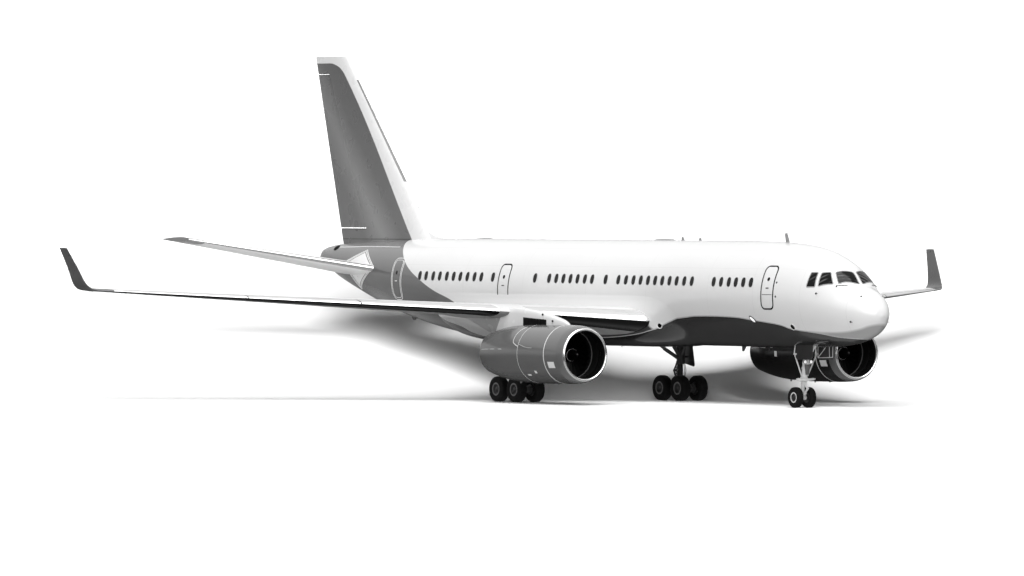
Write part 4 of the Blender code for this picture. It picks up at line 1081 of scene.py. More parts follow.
def build_engines():
    wall = np.array((0.0, 0.022))
    outer, inner = fine(COWL_OUTER, 5), fine(COWL_INNER, 5)
    for side_name, side in SIDES:
        centre = np.array((side * ENGINE_SIDE, ENGINE_STATION, ENGINE_HEIGHT))

        def round_piece(name, profile, finish, **settings):
            piece(name + side_name, [turned(profile, centre, AFT, 128)], finish, **settings)

        round_piece("intake_ring_", fine(LIP, 3), lip_metal, replaces=["intake_lip_" + side_name])
        round_piece("cowl_skin_", np.concatenate((outer, (outer - wall)[::-1])), cowl_paint,
                    replaces=["nacelle_cowl_" + side_name])
        round_piece("duct_lining_", np.concatenate((inner, (inner + wall)[::-1])), duct_dark)
        marks = [cowl_ring(centre, *row) for row in (COWL_RINGS if side < 0 else COWL_RINGS[:1])]
        marks += [cowl_patch(centre, *row) for row in (COWL_MARKS if side < 0 else PORT_COWL_MARKS)]
        piece("cowl_seams_" + side_name, marks, white_paint)
        round_piece("liner_ring_", LINER_RING, dull_ring)
        core = [turned(fine(CORE[1:], 5).tolist() + [(1.42, 0.05)], centre, AFT, 64)]
        for quarter in range(4):
            strut = np.array((cos(quarter * pi / 2), 0, sin(quarter * pi / 2)))
            base = centre + (0, STRUT_DISTANCE, 0)
            core.append(rod(base + strut * 0.3, base + strut * 0.93, 0.06))
        piece("engine_core_skin_" + side_name, core, engine_metal, replaces=["engine_core_" + side_name])
        build_engine_fittings(side_name, centre)
        build_fan(side_name, centre)
        build_pylon(side_name, side)


# Thin light lines on the nacelle, painted highlights along the edges of reflections: (distance, angle) points, half
# width
COWL_HIGHLIGHT_LINES = ((((3.09, 15), (3.28, 18), (3.50, 24), (3.55, 36), (3.54, 48), (3.48, 58), (3.36, 66)), 0.014),
              (((4.25, 9), (4.9, 9), (5.5, 9), (6.0, 9)), 0.008),
              (((3.1, 20), (2.6, 14), (2.1, 12)), 0.006))


def build_engine_fittings(side_name, centre):
    """Thin light lines as painted highlights, latches along the keel and the drain masts."""
    lines = []
    for route, width in COWL_HIGHLIGHT_LINES:
        distance, degrees = fine(route, 8).T
        angle = np.radians(degrees)
        normal = np.stack((-np.cos(angle), 0 * angle, np.sin(angle)), -1)
        path = centre + normal * cowl_radius(distance)[:, None] + np.outer(distance, AFT)
        lines.append(sweep(path, normal, band(width, 0.005, 0.012)))
    piece("cowl_lines_" + side_name, lines, white_paint)
    small = [cowl_patch(centre, distance, distance + 0.12, -87, -84, 0.008)
             for distance in (1.6, 2.05, 2.5, 2.95, 3.4, 3.85)]
    for distance, tall in ((1.75, 0.05), (2.75, 0.07), (4.4, 0.05)):
        x, y, z = centre + (0, distance, -1.12)
        small.append(plate([(y + aft, z + up) for aft, up in ((0, 0.03), (0.16, 0.03), (0.15, -tall), (0.07, -tall))],
                           x - 0.012, x + 0.012))
    piece("cowl_fittings_" + side_name, small, gear_steel)


def build_fan(side_name, centre):
    body = "fan_" + side_name
    blades = []
    for index in range(FAN_BLADES):
        turn = 2 * pi * index / FAN_BLADES
        rings = []
        for radius, half_chord, twist in fine(FAN_BLADE, 3):
            lean = radians(twist)
            ring = []
            for around in circle(12):
                along, across = half_chord * cos(around), 0.012 * sin(around)
                x = along * sin(lean) + across * cos(lean)
                y = FAN_DEPTH + along * cos(lean) - across * sin(lean)
                ring.append(centre + (x * cos(turn) + radius * sin(turn), y, radius * cos(turn) - x * sin(turn)))
            rings.append(ring)
        blades.append(loft(rings))
    rows = fine(SPINNER, 5)
    hub = turned(np.vstack((rows, (SPINNER[-1][0], 0.0))), centre, AFT, 64)
    piece("fan_blades_" + side_name, blades + [hub], fan_metal, body=body, replaces=[body])
    start, reach, turns = SPIRAL
    distances = start + reach * np.linspace(0, 1, 80)**0.5
    radius, = look_up(rows, distances)
    turn = np.linspace(0, turns * 2 * pi, 80)
    path = centre + np.stack((radius * np.cos(turn), distances, radius * np.sin(turn)), -1)
    normal = np.stack((np.cos(turn), -np.gradient(radius, distances), np.sin(turn)), -1)
    normal /= np.linalg.norm(normal, axis=1)[:, None]
    piece("spinner_spiral_" + side_name, [sweep(path, normal, band(0.012, 0.004))], white_paint, body=body)


# Pylon rows: station, top, bottom, half width
PYLON = ((11.72, 3.14, 3.02, 0.03), (11.95, 3.25, 2.95, 0.10), (12.4, 3.38, 2.85, 0.16), (13.5, 3.60, 2.85, 0.19),
         (15.0, 3.76, 2.85, 0.19), (16.2, 3.75, 2.62, 0.19), (17.2, 3.62, 2.80, 0.17), (18.0, 3.50, 3.03, 0.12),
         (18.85, 3.40, 3.30, 0.04))
PYLON_HALF = 0.19


def build_pylon(side_name, side):
    rings = []
    angle = circle(32)
    across, rise = squared(np.cos(angle), 0.35), squared(np.sin(angle), 0.6)
    for station, top, bottom, half in fine(PYLON, 6):
        rings.append(np.stack((side * ENGINE_SIDE + half * across, np.full(32, station),
                               (top + bottom) / 2 + (top - bottom) / 2 * rise), -1))
    piece("pylon_skin_" + side_name, [loft(rings)], pylon_paint, replaces=["pylon_" + side_name])
    flank_side = side * ENGINE_SIDE - PYLON_HALF
    # painted shade: the vent's opening and its louvres are dark plates
    vent = plate(((13.1, 3.09), (14.7, 3.07), (14.7, 3.40), (13.1, 3.32)), flank_side + 0.02, flank_side - 0.012)
    slats = [plate(((station, 3.10), (station + 0.05, 3.10), (station + 0.05, 3.34), (station, 3.33)),
                   flank_side + 0.01, flank_side - 0.024) for station in np.arange(13.25, 14.6, 0.22)]
    dots = [rod((flank_side + 0.02, station, height), (flank_side - 0.02, station, height), 0.04)
            for station, height in ((12.66, 3.27), (13.35, 3.52))]
    piece("pylon_vent_" + side_name, [vent] + dots, seal)
    piece("pylon_louvres_" + side_name, slats, seal)


# ---------- Landing gear ----------

MAIN_GEAR = (3.91, 19.217, 0.5037)       # side, station and height of the bogie's middle
BOGIE_AXLES = (("front", -0.631), ("rear", 0.631))
NOSE_HUB = np.array((0.0, 5.282, 0.400))
NOSE_AXIS = np.array((0.0, -0.382, 2.22)) / np.hypot(0.382, 2.22)     # up the nose leg
WAIST_HEIGHT = 1.45                      # where the main leg's piston leaves its casing
NOSE_BAY = (3.80, 5.45, 0.46, 2.85)      # front station, rear station, half width, roof height
BAY_BELOW = 1.8                          # a height under the fuselage, where the cut for the bay starts
# Wheel pairs: from the middle to a wheel, half a tyre's width, radius
MAIN_WHEELS = (0.42, 0.185, 0.5037)
NOSE_WHEELS = (0.30, 0.12, 0.400)
# Half profiles in half tyre widths: tyre wall by (bead, radius) shares, disc and edge ring by the bead's share
TYRE_WALL = ((0.76, 1, 0), (0.90, 1.08, 0), (0.98, 0, 0.68), (1.0, 0, 0.78), (0.96, 0, 0.89), (0.86, 0, 0.955),
             (0.70, 0, 0.992))
HUB_DISC = ((-0.55, 0), (-0.55, 0.45), (-0.80, 0.80), (-0.86, 1.02), (-0.80, 1.04), (-0.72, 0.97), (0.72, 0.97),
            (0.80, 1.04), (0.86, 1.02), (0.84, 0.90), (0.50, 0.82), (0.36, 0.62), (0.40, 0.42), (0.66, 0.38),
            (0.74, 0.28), (0.74, 0))
HUB_RING = ((0.84, 0.80), (0.89, 0.80), (0.91, 0.91), (0.89, 1.02), (0.84, 1.02))
TREAD_GROOVES = (-0.48, -0.16, 0.16, 0.48)
GROOVE_DEPTH = 0.011
HUB_BOLTS = 9


def build_wheels(name, centre, reach, half, radius, shine):
    """A pair of wheels on their axle; reach is from the middle to each wheel, half is half a tyre's width."""
    bead = radius * 0.50
    wall = [(across, bead * by_bead + radius * by_radius) for across, by_bead, by_radius in TYRE_WALL]
    tread = [(groove + across, radius - depth) for groove in TREAD_GROOVES for across, depth in (
        (-0.035, 0), (-0.025, GROOVE_DEPTH), (0.025, GROOVE_DEPTH), (0.035, 0))]
    outline = [(-across, level) for across, level in wall] + tread + wall[::-1]
    tyres, metal, rings = [], [rod(centre - (reach, 0, 0), centre + (reach, 0, 0), radius * 0.09)], []
    for out in (-1, 1):
        middle, axis = centre + (out * reach, 0, 0), (out, 0, 0)

        def along(share, at=middle):
            return at + (out * half * share, 0, 0)

        tyres.append(turned([(across * half, level) for across, level in outline], middle, axis, 80))
        metal.append(turned([(across * half, level * bead) for across, level in HUB_DISC], middle, axis, 64))
        metal.append(rod(along(-0.5), middle - (out * (half + 0.005), 0, 0), radius * 0.18))
        for turn in np.arange(HUB_BOLTS) * 2 * pi / HUB_BOLTS:
            at = middle + (0, bead * 0.70 * cos(turn), bead * 0.70 * sin(turn))
            metal.append(rod(along(0.38, at), along(0.54, at), radius * 0.028, 6))
        rings.append(turned([(across * half, level * bead) for across, level in HUB_RING], middle, axis, 64))
    piece(name + "_tyres", tyres, tyre_rubber, body=name, replaces=[name])
    piece(name + "_hubs", metal, hub_metal, body=name)
    piece(name + "_rings", rings, shine, body=name, slot="white_gear")


BOGIE_BEAM = ((-0.75, 0), (-0.75, 0.08), (-0.73, 0.10), (-0.50, 0.10), (-0.46, 0.088), (-0.20, 0.088), (-0.16, 0.10),
              (0.16, 0.10), (0.20, 0.088), (0.46, 0.088), (0.50, 0.10), (0.73, 0.10), (0.75, 0.08), (0.75, 0))
BRAKE_STACK = ((0.13, 0.10), (0.13, 0.16), (0.145, 0.19), (0.16, 0.19), (0.165, 0.175), (0.18, 0.175), (0.185, 0.19),
               (0.205, 0.19), (0.22, 0.16), (0.22, 0.10))


def build_main_gear():
    for side_name, side in SIDES:
        hub = np.array(MAIN_GEAR) * (side, 1, 1)
        for end, shift in BOGIE_AXLES:
            build_wheels(f"main_wheels_{end}_{side_name}", hub + (0, shift, 0), *MAIN_WHEELS, dull_ring)
        parts = [turned(BOGIE_BEAM, hub, AFT, 40)]
        for _, shift in BOGIE_AXLES:
            axle = hub + (0, shift, 0)
            parts.append(rod(axle - (0.222, 0, 0), axle + (0.222, 0, 0), 0.12, 32))
            for out in (-1, 1):
                parts += [turned(BRAKE_STACK, axle, (out, 0, 0), 40),
                          rod(axle + (out * 0.15, 0, -0.13), hub + (out * 0.12, shift * 0.1, -0.12), 0.018, 10),
                          rod(axle + (out * 0.13, 0, 0.12), hub + (out * 0.10, shift * 0.25, 0.14), 0.012, 8)]
        piece("bogie_skin_" + side_name, parts, dark_steel_gear_shade, replaces=["bogie_beam_" + side_name])
        build_main_leg(side_name, side, hub)


# Places on the main leg: outboard, aft and up from its waist
LEG_CASING = ((0.0, 0.10), (0.0, 0.15), (0.02, 0.172), (0.12, 0.172), (0.14, 0.155), (0.42, 0.155), (0.44, 0.168),
              (0.54, 0.168), (0.56, 0.152), (1.05, 0.152), (1.07, 0.17), (1.18, 0.17), (1.20, 0.155), (1.70, 0.155),
              (1.70, 0.10))
LEG_BARS = (((0, 0, 0.25), (-1.05, 0, 1.80), 0.055, 24), ((-0.10, 0, 0.40), (-0.32, 0, 0.72), 0.075, 24),
            ((0, 0, 0.18), (-1.86, 0, 1.26), 0.055, 24), ((-0.08, 0, 0.23), (-0.80, 0, 0.64), 0.075, 24),
            ((0, 0, 0.20), (0, -0.95, 1.80), 0.055, 24), ((0, -0.12, 0.40), (0, -0.26, 0.64), 0.075, 24),
            ((0, 0, 0.30), (0.31, 0, 0.30), 0.04, 16), ((0, 0.06, 1.0), (0.31, 0.10, 1.0), 0.03, 16),
            ((-0.09, 0.13, 0.08), (0.09, 0.13, 0.08), 0.05, 20),
            ((-0.08, 0.36, -0.25), (0.08, 0.36, -0.25), 0.042, 20),
            ((-0.09, 0.10, -0.72), (0.09, 0.10, -0.72), 0.05, 20))
LEG_LINKS = ((0.13, 0.08), (0.36, -0.25), (0.10, -0.72))       # (aft, up) of the torque links' joints
MAIN_DOOR = ((-0.28, 2.78), (0.42, 2.78), (0.42, 1.66), (0.36, 1.54), (0.20, 1.49), (-0.46, 1.36), (-0.52, 1.38),
             (-0.53, 1.46))                                    # (aft of the leg, height)
MAIN_DOOR_OUT = (0.301, 0.340)         # its two faces, outboard of the leg


def build_main_leg(side_name, side, hub):
    """The outer cylinder with its collars, the piston (its bright metal painted near black as shade), braces, torque
    links, hoses and the door.
    """
    def at(out, aft, up):
        return np.array((hub[0] + side * out, hub[1] + aft, WAIST_HEIGHT + up))

    parts = [turned(LEG_CASING, at(0, 0, 0), (0, 0, 1), 48), rod(at(0, 0, -0.846), at(0, 0, -0.70), 0.125, 32),
             box(at(-0.12 * side, -0.13, -0.845), at(0.12 * side, 0.13, -0.69), 0.03)] + rods(LEG_BARS, at)
    piece("main_leg_skin_" + side_name, parts, dark_steel_gear_shade, replaces=["main_leg_" + side_name])
    # near-black metal: painted shade
    piece("main_piston_" + side_name, [rod(at(0, 0, -0.72), at(0, 0, 0.05), 0.11, 40)], fan_metal, slot="bare_alloy")
    links = []
    joints = np.array(LEG_LINKS)
    for start, end in zip(joints, joints[1:]):
        along = end - start
        across = np.array((-along[1], along[0])) / np.linalg.norm(along)
        flat = [start + across * 0.045, end + across * 0.035, end - across * 0.035, start - across * 0.045]
        for out in (-0.055, 0.055):
            links.append(plate([(hub[1] + aft, WAIST_HEIGHT + up) for aft, up in flat],
                               hub[0] + out - 0.016, hub[0] + out + 0.016, 0, 0.006))
        links += [rod(at(-0.06, *(start + along * share)), at(0.06, *(start + along * share)), 0.022, 12)
                  for share in (0.3, 0.65)]
    piece("main_links_" + side_name, links, dark_steel_gear_shade)
    hoses = []
    for out, aft in ((0.10, -0.15), (-0.10, -0.16), (0.02, -0.185)):
        route = ((out, aft, 1.5), (out, aft, 0.6), (out, aft * 1.05, 0.1), (out * 1.2, aft * 1.5, -0.25),
                 (out * 0.8, aft * 1.3, -0.55), (out * 0.5, aft * 0.9, -0.76))
        hoses.append(tube([at(*point) for point in fine(route, 6)], 0.013))
    piece("main_hoses_" + side_name, hoses, hose_rubber)
    faces = [hub[0] + side * out for out in MAIN_DOOR_OUT]
    outline = [(hub[1] + aft, height) for aft, height in MAIN_DOOR]
    piece("main_door_skin_" + side_name, [plate(outline, *sorted(faces), 0, 0.008)], dark_paint,
          replaces=["main_gear_door_" + side_name])
    near, far = sorted((faces[0], faces[0] - side * 0.02))
    ribs = [box((near, hub[1] - 0.38, height), (far, hub[1] + 0.36, height + 0.03), 0.004)
            for height in (1.56, 1.9, 2.25, 2.6)]
    piece("main_door_ribs_" + side_name, ribs, dark_steel_gear_shade)


def nose_at(out, ahead, up):
    """A place measured from the nose wheels' axle: to the side, ahead of the leg's axis and up along it."""
    square = np.array((0.0, -NOSE_AXIS[2], NOSE_AXIS[1]))
    return NOSE_HUB + NOSE_AXIS * up + square * ahead + (out, 0, 0)


NOSE_FORK = ((-0.05, 0), (-0.05, 0.085), (0.0, 0.10), (0.10, 0.10), (0.16, 0.075), (0.40, 0.070), (0.45, 0.085),
             (0.50, 0.085), (0.52, 0.072), (0.55, 0.072), (0.555, 0.115), (0.64, 0.115), (0.645, 0.07), (0.65, 0))
NOSE_LINKS = ((0.12, 0.60), (0.30, 0.40), (0.10, 0.14))        # (ahead, up) of the torque links' ends
NOSE_HOSE = ((0.03, 0.09, 0.62), (0.05, 0.16, 0.48), (0.03, 0.19, 0.34), (-0.05, 0.15, 0.24), (-0.10, 0.04, 0.12))
NOSE_CASING = ((0.66, 0.078), (0.66, 0.13), (0.68, 0.15), (0.78, 0.15), (0.80, 0.128), (0.92, 0.118), (1.08, 0.118),
               (1.10, 0.138), (1.18, 0.138), (1.20, 0.12), (1.30, 0.12), (1.32, 0.135), (1.40, 0.135), (1.42, 0.12),
               (2.30, 0.12), (2.30, 0.078))
NOSE_DOOR = ((3.86, 2.58), (4.98, 2.58), (4.98, 1.96), (4.90, 1.87), (3.98, 1.87), (3.86, 1.98))
NOSE_DOOR_BARS = (((4.93, 1.93), (4.40, 2.36)), ((4.93, 1.93), (3.95, 1.96)), ((3.95, 1.96), (3.95, 2.38)),
                  ((4.16, 1.96), (4.18, 2.38)), ((4.93, 1.95), (4.93, 2.38)))
LAMP_CAN = ((0, 0), (0, 0.035), (0.05, 0.075), (0.075, 0.078), (0.078, 0.066), (0.06, 0.064), (0.06, 0))
LAMP_LENS = ((0.055, 0), (0.055, 0.063), (0.068, 0.060), (0.076, 0.035), (0.079, 0))
NOSE_WAIST = 1.25        # where the braces meet the leg, up from the axle
NOSE_CROWN = 2.78        # height of the leg's top


def build_nose_gear():
    build_wheels("nose_wheels", NOSE_HUB, *NOSE_WHEELS, white_gear)
    build_nose_fork()
    build_nose_leg()
    build_nose_lamps()
    build_nose_bay()


def build_nose_fork():
    fork = [turned(NOSE_FORK, NOSE_HUB, NOSE_AXIS, 40),
            rod(NOSE_HUB - (0.165, 0, 0), NOSE_HUB + (0.165, 0, 0), 0.09, 32)]
    fork += rods([((-0.05, ahead, up), (0.05, ahead, up), radius, 16)
                  for ahead, up, radius in ((0.13, 0.60, 0.03), (0.30, 0.40, 0.026), (0.11, 0.14, 0.03))], nose_at)
    fork += rods([((out, *first), (out, *last), 0.022, 12) for first, last in zip(NOSE_LINKS, NOSE_LINKS[1:])
                  for out in (-0.032, 0.032)], nose_at)
    fork += [box(NOSE_HUB + (-0.05, -0.22, 0.10), NOSE_HUB + (0.05, -0.05, 0.20), 0.02),
             rod(NOSE_HUB + (-0.06, -0.19, 0.15), NOSE_HUB + (0.06, -0.19, 0.15), 0.03, 16)]
    skinned("nose_fork", fork, white_gear, body="nose_steering")
    piece("nose_piston", [rod(nose_at(0, 0, 0.48), nose_at(0, 0, 0.94), 0.066, 40)], alloy, body="nose_steering")
    piece("nose_hose", [tube([nose_at(*point) for point in fine(NOSE_HOSE, 6)], 0.012)], white_gear,
          body="nose_steering")


def build_nose_leg():
    crown = nose_at(0, 0, (NOSE_CROWN - NOSE_HUB[2]) / NOSE_AXIS[2])
    leg = [turned(NOSE_CASING, NOSE_HUB, NOSE_AXIS, 48),
           box(crown - (0.40, 0.15, 0.07), crown + (0.40, 0.15, 0.0694), 0.03)]
    for side in (-1, 1):
        brace = side * 0.525
        leg += [rod(nose_at(side * 0.05, 0, NOSE_WAIST), crown + (side * 0.36, 0, 0), 0.034),
                rod(nose_at(side * 0.14, 0.02, 0.84), (brace, 5.06, 2.09), 0.026),
                rod((brace, 5.10, 2.08), (brace, 4.90, 2.08), 0.030, 16),
                rod((brace, 5.08, 2.08), (side * 0.44, 5.10, 2.55), 0.022, 16),
                rod(nose_at(side * 0.10, 0.14, 0.72), nose_at(side * 0.38, 0.12, 0.74), 0.045, 24),
                rod(nose_at(side * 0.36, 0.12, 0.74), nose_at(side * 0.44, 0.12, 0.74), 0.030, 16)]
    leg += [rod(nose_at(-0.12, 0.14, 0.72), nose_at(0.12, 0.14, 0.72), 0.055, 24),
            box(nose_at(-0.07, 0.15, 0.70), nose_at(0.07, 0.02, 0.76), 0.01),
            rod(nose_at(0, 0, NOSE_WAIST), crown + (0, -0.75, 0.02), 0.045, 24),
            rod(crown + (-0.07, -0.72, 0.0), crown + (0.07, -0.72, 0.0), 0.06),
            rod(nose_at(-0.20, 0.10, 1.35), nose_at(0.20, 0.10, 1.35), 0.028, 16)]
    skinned("nose_leg", leg, white_gear)


def build_nose_lamps():
    panel = plate([(-0.135, 1.68), (0.135, 1.68), (0.075, 1.28), (-0.075, 1.28)], 4.93, 4.955, 1, 0.006)
    piece("nose_leg_panel", [panel], grey_paint)
    for name, profile, finish in (("nose_lamp_cans", LAMP_CAN, alloy), ("nose_lamps", LAMP_LENS, lamp_glass)):
        piece(name, [turned(profile, (out, 4.955, 1.775), (0, -1, 0), 32) for out in (-0.14, 0.14)], finish)


def build_nose_bay():
    """The two doors with their braces, and the frames under the bay's roof."""
    for side_name, side in SIDES:
        faces = sorted((side * 0.501, side * 0.534))
        piece("nose_door_skin_" + side_name, [plate(NOSE_DOOR, *faces, 0, 0.006)], dark_paint,
              replaces=["nose_gear_door_" + side_name])
        bars = [rod((side * 0.492, *first), (side * 0.492, *last), 0.016, 12) for first, last in NOSE_DOOR_BARS]
        piece("nose_door_braces_" + side_name, bars, white_gear)
    front, rear, half, roof = NOSE_BAY
    frames = [box((-half + 0.01, station, roof - 0.05), (half - 0.01, station + 0.03, roof - 0.002), 0.008)
              for station in (3.9, 4.2, 5.15, 5.35)]
    frames += [box((middle - 0.02, front + 0.02, roof - 0.035), (middle + 0.02, rear - 0.02, roof - 0.004), 0.008)
               for middle in (-0.2, 0.2)]
    piece("nose_bay_frames", frames, grey_paint)


# ---------- Small fittings ----------

PROBES = ((0.71, 4.33), (2.48, 4.43), (0.92, 3.36), (4.63, 4.83), (4.61, 4.29), (22.08, 4.01))     # station, height
PROBE_VANES = ((0.92, 3.36), (2.48, 4.43))
# The tailplane's root plate, corners as (station, height), and the blade antennas' outlines
ROOT_PLATE = ((34.80, 5.80), (33.80, 5.22), (35.20, 4.46), (36.10, 5.38))
CROWN_ANTENNAS = (((6.12, 6.30), (6.40, 6.30), (6.47, 6.70), (6.42, 6.73), (6.30, 6.72)),
                  ((12.08, 6.39), (12.30, 6.39), (12.26, 6.52), (12.16, 6.52)),
                  ((13.25, 6.39), (13.50, 6.39), (13.47, 6.54), (13.36, 6.54)))
BELLY_ANTENNAS = (((32.38, 3.32), (32.90, 3.42), (32.84, 3.16), (32.70, 3.06), (32.56, 3.08)),
                  ((9.0, 2.34), (9.32, 2.34), (9.30, 2.12), (9.20, 2.12)),
                  ((7.4, 2.34), (7.62, 2.34), (7.58, 2.16), (7.50, 2.16)))
# Satellite antenna rows: station, half width, height
DOME = ((13.95, 0.02, 0.0), (14.05, 0.10, 0.05), (14.6, 0.12, 0.07), (15.2, 0.10, 0.05), (15.32, 0.02, 0.0))
BEACON = ((-0.03, 0), (-0.03, 0.07), (0.03, 0.065), (0.08, 0.035), (0.095, 0))
BEACONS = ((29.6, 6.405, 1), (17.6, 2.235, -1))                # station, height, up or down
TAIL_END = (0, 39.39, 5.62)
# Lamps: station, height and radius; the landing lamp's station, height, width and height of its glass
NOSE_LAMP = (3.98, 3.13, 0.12)
FAIRING_LAMP = (12.42, 3.10, 0.115)
LANDING_LAMP = (6.25, 3.40, 0.30, 0.17)
POWER_INTAKE = (37.72, 5.98, 0.34, 0.20)


def build_fittings():
    for side_name, side in SIDES:
        build_probes(side_name, side)
        build_lamps(side_name, side)
        build_tail_fittings(side_name, side)
        route, out = flank(side, np.linspace(1.76, 1.50, 8), np.linspace(4.735, 4.745, 8))
        stud = turned(((-0.02, 0), (-0.02, 0.03), (0.03, 0.022), (0.035, 0)), *spot(side, 1.74, 4.70), 28)
        piece("wiper_" + side_name, [tube(route + out * 0.022, 0.011), stud], seal)
    for name, outlines, finish in (("blade_antennas", CROWN_ANTENNAS, frame_paint),
                                   ("belly_antennas", BELLY_ANTENNAS, dark_paint)):
        piece(name, [plate(outline, -0.012, 0.012, 0, 0.008) for outline in outlines], finish)
    angle = circle(24)
    dome = [np.stack((half * np.cos(angle), np.full(24, station),
                      6.395 + (tall + 0.008) * np.maximum(np.sin(angle), -0.3)), -1)
            for station, half, tall in fine(DOME, 5)]
    piece("satellite_antenna", [loft(dome)], frame_paint)
    piece("beacons", [turned(BEACON, (0, station, height), (0, 0, up), 32) for station, height, up in BEACONS],
          lamp_glass)
    piece("exhaust_ring", [turned(((-0.12, 0.185), (-0.12, 0.215), (0.02, 0.215), (0.03, 0.205), (0.03, 0.190)),
                                  TAIL_END, AFT, 48)], engine_metal)
    # painted shade: the exhaust's mouth is a dark plug
    piece("exhaust_mouth", [turned(((-0.10, 0), (-0.10, 0.19), (0.0, 0.188), (0.012, 0.10), (0.014, 0)),
                                   TAIL_END, AFT, 48)], seal)


def build_probes(side_name, side):
    probe = ((-0.02, 0), (-0.02, 0.045), (0.004, 0.042), (0.008, 0.020), (0.03, 0.014), (0.034, 0))
    marks = [turned(probe, *spot(side, *place), 28) for place in PROBES]
    for place in PROBE_VANES:
        point, normal = spot(side, *place)
        marks.append(rod(point + normal * 0.03, point + normal * 0.04 + (0, -0.14, 0), 0.012, 10))
    piece("probes_" + side_name, marks, dark_steel_gear_shade, slot="dark_paint")


def build_lamps(side_name, side):
    """A lamp in the nose and one in the fairing's front, with their rings, and the landing lamp."""
    station, height, radius = FAIRING_LAMP
    step = 0.14
    reach, ahead = (np.interp(height, *fairing_half(at)[::-1, ::-1].T) for at in (station, station - step))
    normal = np.array((side, (ahead - reach) / step, -0.1))
    places = ((*spot(side, *NOSE_LAMP[:2]), NOSE_LAMP[2]), (np.array((side * reach, station, height)), normal, radius))
    for name, profile, finish in (
            ("lamp_rings_", ((-0.04, 0.8), (-0.04, 1.16), (0.012, 1.16), (0.020, 1.08), (0.012, 0.98), (-0.01, 0.8)),
             white_paint),
            ("lamp_covers_", ((-0.04, 0), (-0.04, 0.97), (0.0, 0.97), (0.014, 0.6), (0.018, 0)), pane_glass)):
        piece(name + side_name, [turned([(out, radius * share) for out, share in profile], point, normal, 40)
                                 for point, normal, radius in places], finish)
    outline = oval(*LANDING_LAMP)
    outline[:, 1] += (outline[:, 0] - LANDING_LAMP[0]) * 0.5
    lens = ((0, -0.02), (1, -0.02), (1, 0.012), (0.8, 0.026), (0.5, 0.032), (0, 0.034))
    piece("landing_lamp_" + side_name, [pad(side, outline, lens)], lamp_glass)
    piece("landing_lamp_rim_" + side_name, [rim(side, outline, band(0.022, 0.02))], seal)


def build_tail_fittings(side_name, side):
    """The plate and lines round the tailplane's root, the line under the fin and the power unit's intake."""
    diamond = edge_points(np.array(ROOT_PLATE), np.linspace(0, 1, 10, endpoint=False))
    middle = diamond.mean(0)
    rings = ((0, -0.03), (1, -0.03), (1, 0.006), (0.97, 0.010), (0.7, 0.010), (0.35, 0.010), (0, 0.010))
    piece("tailplane_root_plate_" + side_name, [pad(side, diamond, rings)], white_paint)
    lines = [rim(side, middle + (diamond - middle) * share, band(0.020, 0.008)) for share in (1.10, 1.20)]
    piece("tailplane_root_lines_" + side_name, lines, white_paint)
    stations = np.linspace(32.3, 37.5, 60)
    crown = flank(side, stations, np.interp(stations, (32.6, 34.7, 37.2), (6.05, 6.06, 6.02)))
    piece("crown_line_" + side_name, [sweep(*crown, band(0.020, 0.006))], white_paint)
    if side < 0:
        rings = ((0, -0.02), (1, -0.02), (1, 0.02), (0.8, 0.03), (0, 0.03))
        # painted shade: the intake's opening is a dark pad
        piece("power_unit_intake", [pad(side, oval(*POWER_INTAKE, count=24), rings)], seal)


# ---------- Stage, light and camera ----------

VIEW_AHEAD = Vector((0.5575, 0.8302, 0))      # level, from the camera past the aircraft, in the model's axes
# The camera's yaw, pitch and roll, its focal length in pixels and its place in metres forward, to port and up,
# all fitted to the sizes of the type
YAW, PITCH, ROLL, FOCAL = 2.55475412, -0.00772310604, 0.00398476002, 9921.11131
CAMERA_PLACE = Vector((306.438300, -220.718361, 7.516443))
IMAGE_WIDTH = 1024


def build_camera():
    ahead = Vector((cos(PITCH) * cos(YAW), cos(PITCH) * sin(YAW), sin(PITCH)))
    level = ahead.cross(Vector((0, 0, 1))).normalized()
    rise = level.cross(ahead)
    right = level * cos(ROLL) + rise * sin(ROLL)
    up = rise * cos(ROLL) - level * sin(ROLL)

    def turned_to_model(v):
        return Vector((v.y, -v.x, v.z))

    lens = bpy.data.cameras.new("camera")
    lens.sensor_width = 36
    lens.lens = FOCAL / IMAGE_WIDTH * lens.sensor_width
    lens.clip_start, lens.clip_end = 1, 2000
    camera = linked("camera", lens)
    axes = Matrix((turned_to_model(right), turned_to_model(up), -turned_to_model(ahead))).transposed().to_4x4()
    place = turned_to_model(CAMERA_PLACE) - Vector((0, MIDDLE, 0))
    camera.matrix_world = Matrix.Translation(place * SCALE) @ axes
    bpy.context.scene.camera = camera


def wire(tree, nodes, links):
    """Nodes as name: (kind, socket values), joined by links of (node, output, node, input)."""
    tree.nodes.clear()
    made = {}
    for name, (kind, values) in nodes.items():
        made[name] = tree.nodes.new("ShaderNode" + kind)
        for socket, value in values.items():
            made[name].inputs[socket].default_value = value
    for first, output, second, socket in links:
        tree.links.new(made[first].outputs[output], made[second].inputs[socket])
    return made


# The floor's depth behind the aircraft and its height there
FLOOR = ((-400, 0.0), (1.25, 0.0), (1.6, 0.03), (2.0, 0.09), (2.6, 0.20), (4.0, 0.46), (6.0, 0.78), (10.0, 1.40),
         (16.0, 2.5), (24.0, 4.8), (60.0, 20.0))
FLOOR_REACH = 300


